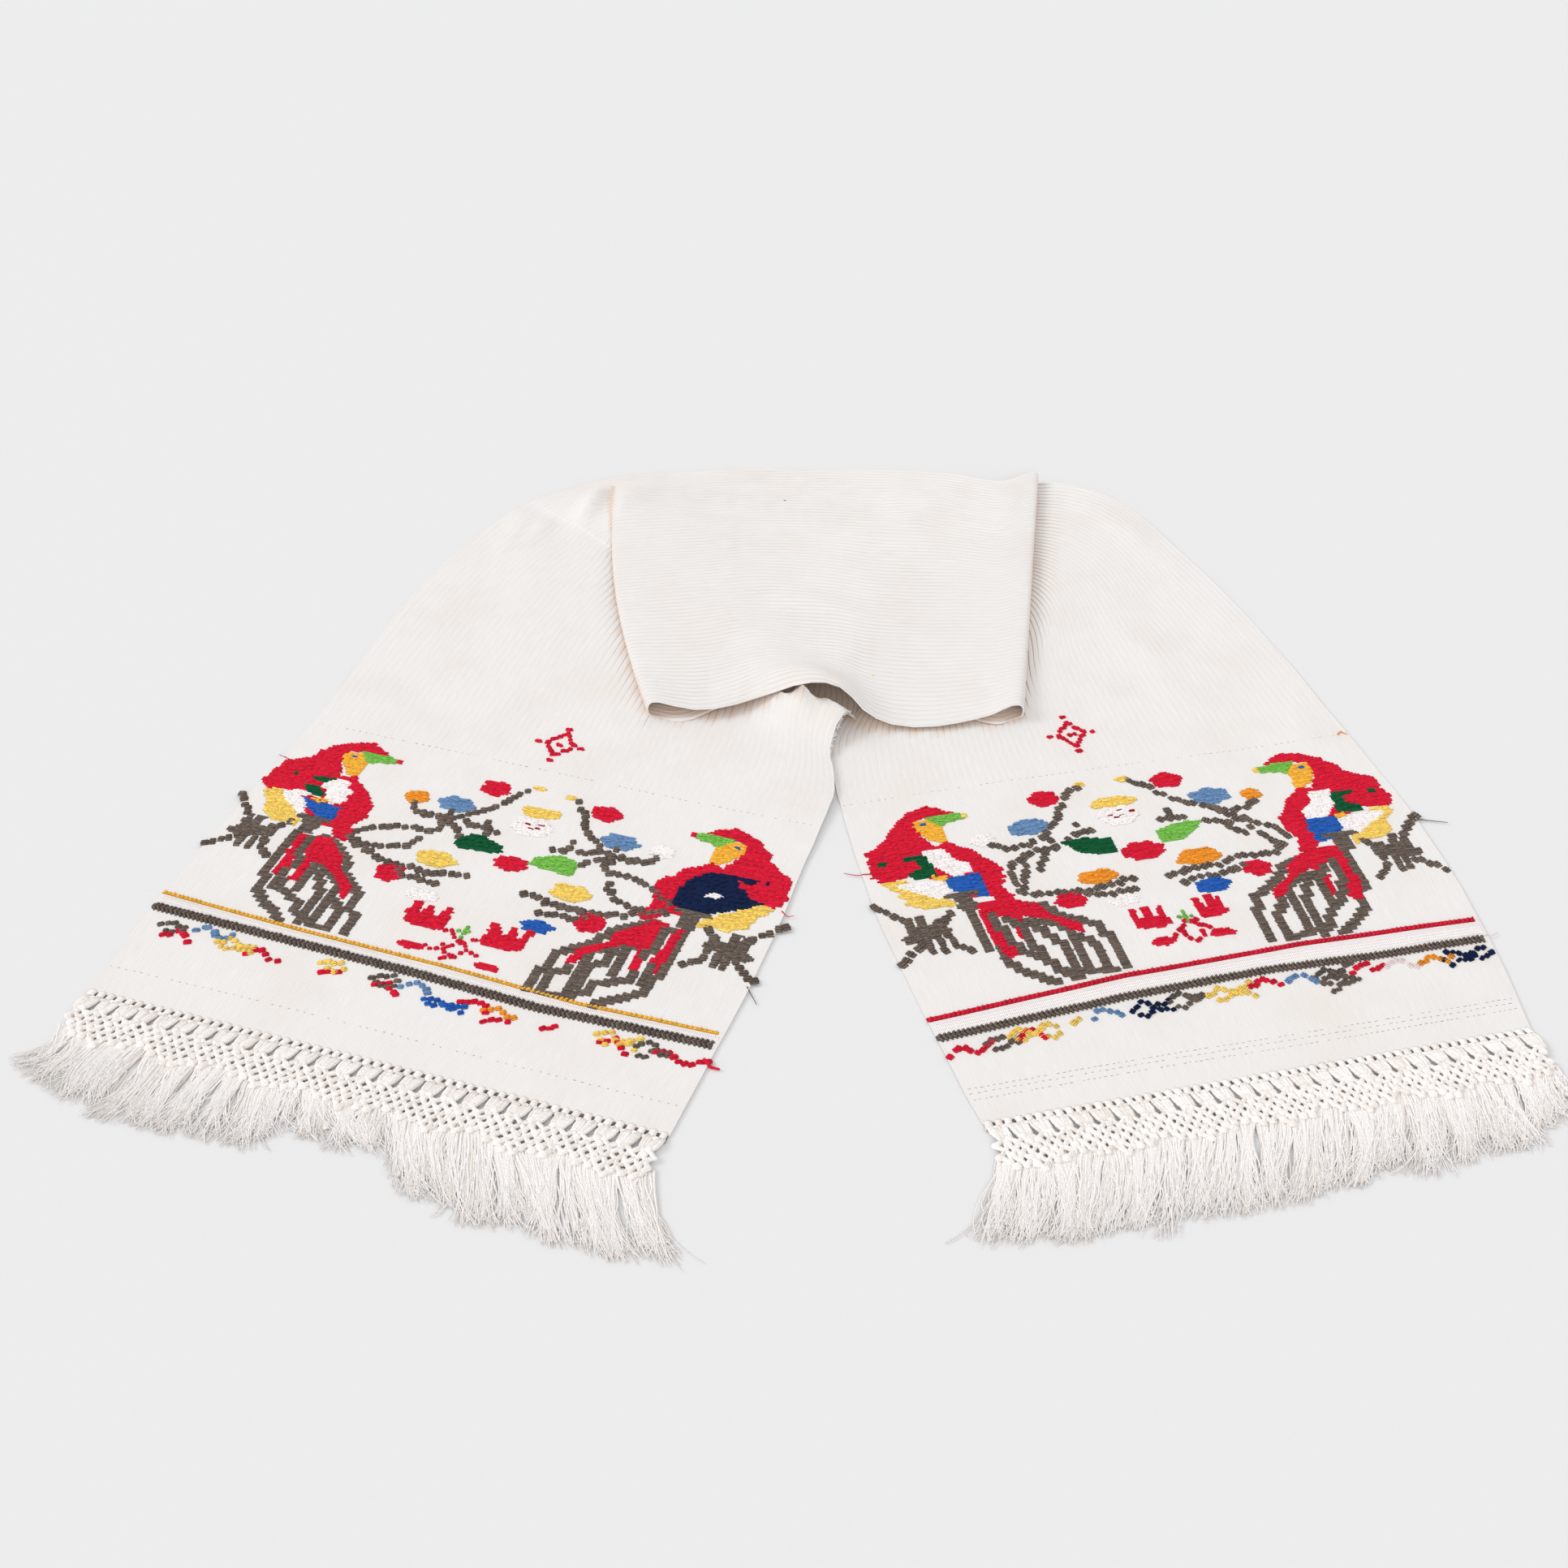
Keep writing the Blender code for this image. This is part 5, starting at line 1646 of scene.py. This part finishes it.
class TOWEL_OT_work(bpy.types.Operator):
    """The birds, sprays, rosettes and zigzags, stitched in wool on both ends"""

    bl_idname = "towel.work"
    bl_label = "Stitched work"

    def execute(self, context):
        settings = context.scene.work_settings
        sheet = Sheet(context.scene.cloth_settings.thickness)
        for seed, end in enumerate(ENDS, 3):
            work = Work(Band(sheet, end), seed, settings)
            if end == "left":
                for spray in LEFT_SPRAYS:
                    work.left_spray(*spray)
                work.middle(*LEFT_SPRAYS[0][:2])
            else:
                work.right_spray()
            for bird in BIRDS[end]:
                work.bird(*bird)
            work.broken_row()
            work.rosette(*ROSETTES[end])
            joined = Joined()
            work.add_laid(joined)
            work.add_beads(joined)
            piece = joined.build("stitched_work_" + end, wool_materials())
            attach(piece, "root")
        return {"FINISHED"}


class TOWEL_OT_stripes(bpy.types.Operator):
    """The couched stripes and the pale satin band between them"""

    bl_idname = "towel.stripes"
    bl_label = "Stripes"

    def execute(self, context):
        settings = context.scene.work_settings
        sheet = Sheet(context.scene.cloth_settings.thickness)
        for seed, end in enumerate(ENDS, 5):
            random = np.random.default_rng(seed)
            band = Band(sheet, end)
            joined = Joined()
            for row in STRIPES[end]:
                self.add_stripe(joined, band, random, settings.bead_height, *row)
            self.add_satin(joined, band, random)
            self.add_threads(joined, band, random)
            piece = joined.build("stripes_" + end, wool_materials())
            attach(piece, "root")
        return {"FINISHED"}

    @staticmethod
    def line(points):
        """A stripe's points at equal steps across the cloth."""
        points = np.array(points, float)
        x = np.arange(points[0, 0], points[-1, 0], STRIPE_STEP)
        return x, np.interp(x, points[:, 0], points[:, 1])

    def add_stripe(self, joined, band, random, bead_height, colour, half_width, points):
        """Slanted stitches over a low flat core, two rows of them in the dark stripe, which slant
        against each other. The core is painted darker, as shade under the slanted stitches."""
        x, y = self.line(points)
        n = len(x)
        # the core's low tint is painted shade under the slanted stitches
        add_stitches(joined, band, x, y, 0.0, 4.9, half_width * 1.65, 0.7 * MM, colour, 0.1)
        for row in (-1, 1) if colour == GREY else (0,):
            slant = -STRIPE_SLANT if row < 0 else STRIPE_SLANT
            add_stitches(joined, band, x, y + row * half_width * 0.45,
                         slant + random.normal(0, 0.08, n), half_width * 1.92,
                         min(2.3, half_width), bead_height * random.uniform(0.9, 1.5, n), colour,
                         random.uniform(0, 1, n))

    def add_satin(self, joined, band, random):
        """White stitches that stand upright from the lower stripe to the upper one."""
        (_, above, upper), (_, below, lower) = STRIPES[band.end]
        x = np.arange(2.5, BAND_WIDTH - 2, SATIN_STEP)
        upper = np.interp(x, *self.line(upper)) - above
        lower = np.interp(x, *self.line(lower)) + below
        add_stitches(joined, band, x, (lower + upper) / 2, pi / 2, (upper - lower) * 0.9, 1.7,
                     0.5 * MM, WHITE, random.uniform(0.3, 0.7, len(x)))

    @staticmethod
    def add_threads(joined, band, random):
        """Small running stitches of hemming and drawn thread, a few of which are missing."""
        for y, length, pitch in THREAD_LINES[band.end]:
            x = np.arange(3.0, BAND_WIDTH - 3, pitch)
            x = x[random.uniform(0, 1, len(x)) < THREADS_KEPT]
            n = len(x)
            add_stitches(joined, band, x + random.normal(0, 0.3, n),
                         y + 0.8 * np.sin(x / 70) + random.normal(0, 0.12, n), 0.0,
                         length * random.uniform(0.6, 1.2, n), 0.8, 0.32 * MM, THREAD,
                         random.uniform(0, 1, n))


class TOWEL_OT_heading(bpy.types.Operator):
    """The hemstitched and knotted headings"""

    bl_idname = "towel.heading"
    bl_label = "Headings"

    def execute(self, context):
        for seed, end in enumerate(ENDS, 7):
            joined, heading, random = Joined(), Heading(end), np.random.default_rng(seed)
            add_posts(joined, heading, random)
            add_net(joined, heading, random, add_pairs(joined, heading, random))
            piece = joined.build("heading_" + end, [fringe_material(), shade_thread_material()])
            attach(piece, "root")
            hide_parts("fringe_" + end)
        return {"FINISHED"}


class TOWEL_OT_fringe(bpy.types.Operator):
    """The loose locks of both fringes"""

    bl_idname = "towel.fringe"
    bl_label = "Fringes"

    def execute(self, context):
        settings = context.scene.fringe_settings
        for seed, end in enumerate(ENDS, 9):
            joined = Joined()
            add_strands(joined, Heading(end), np.random.default_rng(seed), settings.strands,
                        settings.strand)
            piece = joined.build("locks_" + end, [fringe_material()], smooth=False)
            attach(piece, "root")
            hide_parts("fringe_" + end)
        return {"FINISHED"}


class TOWEL_OT_loose_ends(bpy.types.Operator):
    """Single ends of wool that hang loose at the selvedges"""

    bl_idname = "towel.loose_ends"
    bl_label = "Loose ends"

    def execute(self, context):
        sheet = Sheet(context.scene.cloth_settings.thickness)
        joined = Joined()
        for end in ENDS:
            self.add_ends(joined, Band(sheet, end))
        self.add_fray(joined, sheet)
        self.add_lint(joined, sheet)
        piece = joined.build("loose_ends", wool_materials())
        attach(piece, "root")
        return {"FINISHED"}

    @staticmethod
    def add_ends(joined, band):
        """Ends of yarn that taper to half their width and sink beside the cloth."""
        for _, colour, half_width, points in (row for row in LOOSE_ENDS if row[0] == band.end):
            points = np.array(points, float)
            share = np.linspace(0, len(points) - 1, 9)
            x = np.interp(share, range(len(points)), points[:, 0])
            y = np.interp(share, range(len(points)), points[:, 1])
            out = (x < 0) | (x > BAND_WIDTH)
            path = band.at(x, y, np.where(out, -0.4, 0.6) * MM)
            radii = np.interp(share, (0, share[-1]), (half_width, half_width * 0.5)) * MM
            add_tubes(joined, path[None], radii[None], 5, colour, 0.5)

    @staticmethod
    def add_lint(joined, sheet):
        """Flecks on the panel, each on the point of a fine grid that is nearest to its place."""
        u, v = np.linspace(*PANEL_U, 260)[:, None], np.linspace(0, 1, 240)[None, :]
        panel = sheet.points(u, v)
        panel = panel[sheet.share(u[:, 0], "panel") > 0.9].reshape(-1, 3)
        for x, y, half_length, colour in LINT:
            away = np.hypot(*((panel + TABLE_CENTRE)[:, :2] - np.array((x, y)) * MM).T)
            middle = panel[np.argmin(away)] + (0, 0, sheet.thickness / 2 + 0.3 * MM)
            add_knots(joined, middle[None], np.array((LINT_SHAPE,)) * half_length * MM, 0.5, colour)

    @staticmethod
    def add_fray(joined, sheet):
        """Short hairs at the turned corner of the left arm's selvedge, under the arch."""
        random = np.random.default_rng(11)
        edge = sheet.points(np.linspace(*FRAYED_U, 2000), 1.0)
        away = np.hypot(*((edge + TABLE_CENTRE)[:, :2] - np.array(FRAYED) * MM).T)
        near = edge[away < FRAYED_REACH * MM]
        roots = near[random.integers(0, len(near), FRAYED_HAIRS)]
        aim = np.column_stack((random.uniform(0.3, 1, FRAYED_HAIRS),
                               random.normal(-0.2, 0.6, FRAYED_HAIRS),
                               random.normal(-0.3, 0.3, FRAYED_HAIRS)))
        share = np.linspace(0, 1, 4)[None, :, None]
        path = roots[:, None] + aim[:, None] * share * random.uniform(
            1.0, 3.2, (FRAYED_HAIRS, 1, 1)) * MM
        path[..., 2] = np.maximum(path[..., 2], 0.3 * MM)
        add_tubes(joined, path, np.full(path.shape[:2], 0.25 * MM), 4, WHITE, 0.5)


class TOWEL_OT_stage(bpy.types.Operator):
    """The pale floor, the soft studio light and the camera"""

    bl_idname = "towel.stage"
    bl_label = "Stage"

    def execute(self, context):
        scene = context.scene
        settings = scene.stage_settings
        corners = np.linspace(-FLOOR_HALF, FLOOR_HALF, 3)
        grid = np.array([(x, y, -FLOOR_DROP) for y in corners for x in corners])
        first = np.array((0, 1, 3, 4))
        joined = Joined()
        joined.add(grid[None], [np.stack((first, first + 1, first + 4, first + 3), axis=-1)])
        floor = joined.build("floor", [floor_material(settings)])

        world = bpy.data.worlds.new("studio")
        scene.world = world
        world.use_nodes = True
        background = world.node_tree.nodes["Background"]
        background.inputs["Color"].default_value = (1.0, 1.0, 1.0, 1.0)
        background.inputs["Strength"].default_value = settings.ambient
        for name, strength, spread, azimuth, elevation in STUDIO_LIGHTS:
            light = bpy.data.lights.new(name, "SUN")
            light.energy = strength
            light.angle = radians(spread)
            lamp = linked(name, light)
            lamp.location = (0.0, 0.0, 3.0)
            lamp.rotation_euler = (radians(90 - elevation), 0.0, radians(azimuth + 90))

        camera = bpy.data.cameras.new("photo view")
        camera.lens = settings.lens
        camera.sensor_width = SENSOR_WIDTH
        eye = linked("photo view", camera)
        eye.location = CAMERA_PLACE
        eye.rotation_euler = (radians(CAMERA_TILT), 0.0, 0.0)
        scene.camera = eye
        scene.view_settings.view_transform = "Standard"
        return {"FINISHED"}


OPERATORS = (TOWEL_OT_stage, TOWEL_OT_cloth, TOWEL_OT_work, TOWEL_OT_stripes, TOWEL_OT_heading,
             TOWEL_OT_fringe, TOWEL_OT_loose_ends)
SETTINGS = {"cloth_settings": ClothSettings, "work_settings": WorkSettings,
            "fringe_settings": FringeSettings, "stage_settings": StageSettings}


class TOWEL_PT_pieces(bpy.types.Panel):
    """Sizes, colours and pieces of the towel"""

    bl_label = "Towel"
    bl_idname = "TOWEL_PT_pieces"
    bl_space_type = "VIEW_3D"
    bl_region_type = "UI"
    bl_category = "Towel"

    def draw(self, context):
        for settings in SETTINGS:
            group = getattr(context.scene, settings)
            for name in type(group).__annotations__:
                self.layout.prop(group, name)
        for operator in OPERATORS:
            self.layout.operator(operator.bl_idname)


def register():
    for made in (*SETTINGS.values(), *OPERATORS, TOWEL_PT_pieces):
        bpy.utils.register_class(made)
    for name, group in SETTINGS.items():
        setattr(bpy.types.Scene, name, PointerProperty(type=group))


def unregister():
    for name in SETTINGS:
        delattr(bpy.types.Scene, name)
    for made in (TOWEL_PT_pieces, *OPERATORS[::-1], *tuple(SETTINGS.values())[::-1]):
        bpy.utils.unregister_class(made)


def main():
    register()
    bpy.ops.towel.stage()
    bpy.ops.towel.cloth()
    bpy.ops.towel.work()
    bpy.ops.towel.stripes()
    bpy.ops.towel.heading()
    bpy.ops.towel.fringe()
    bpy.ops.towel.loose_ends()


if __name__ == "__main__":
    main()
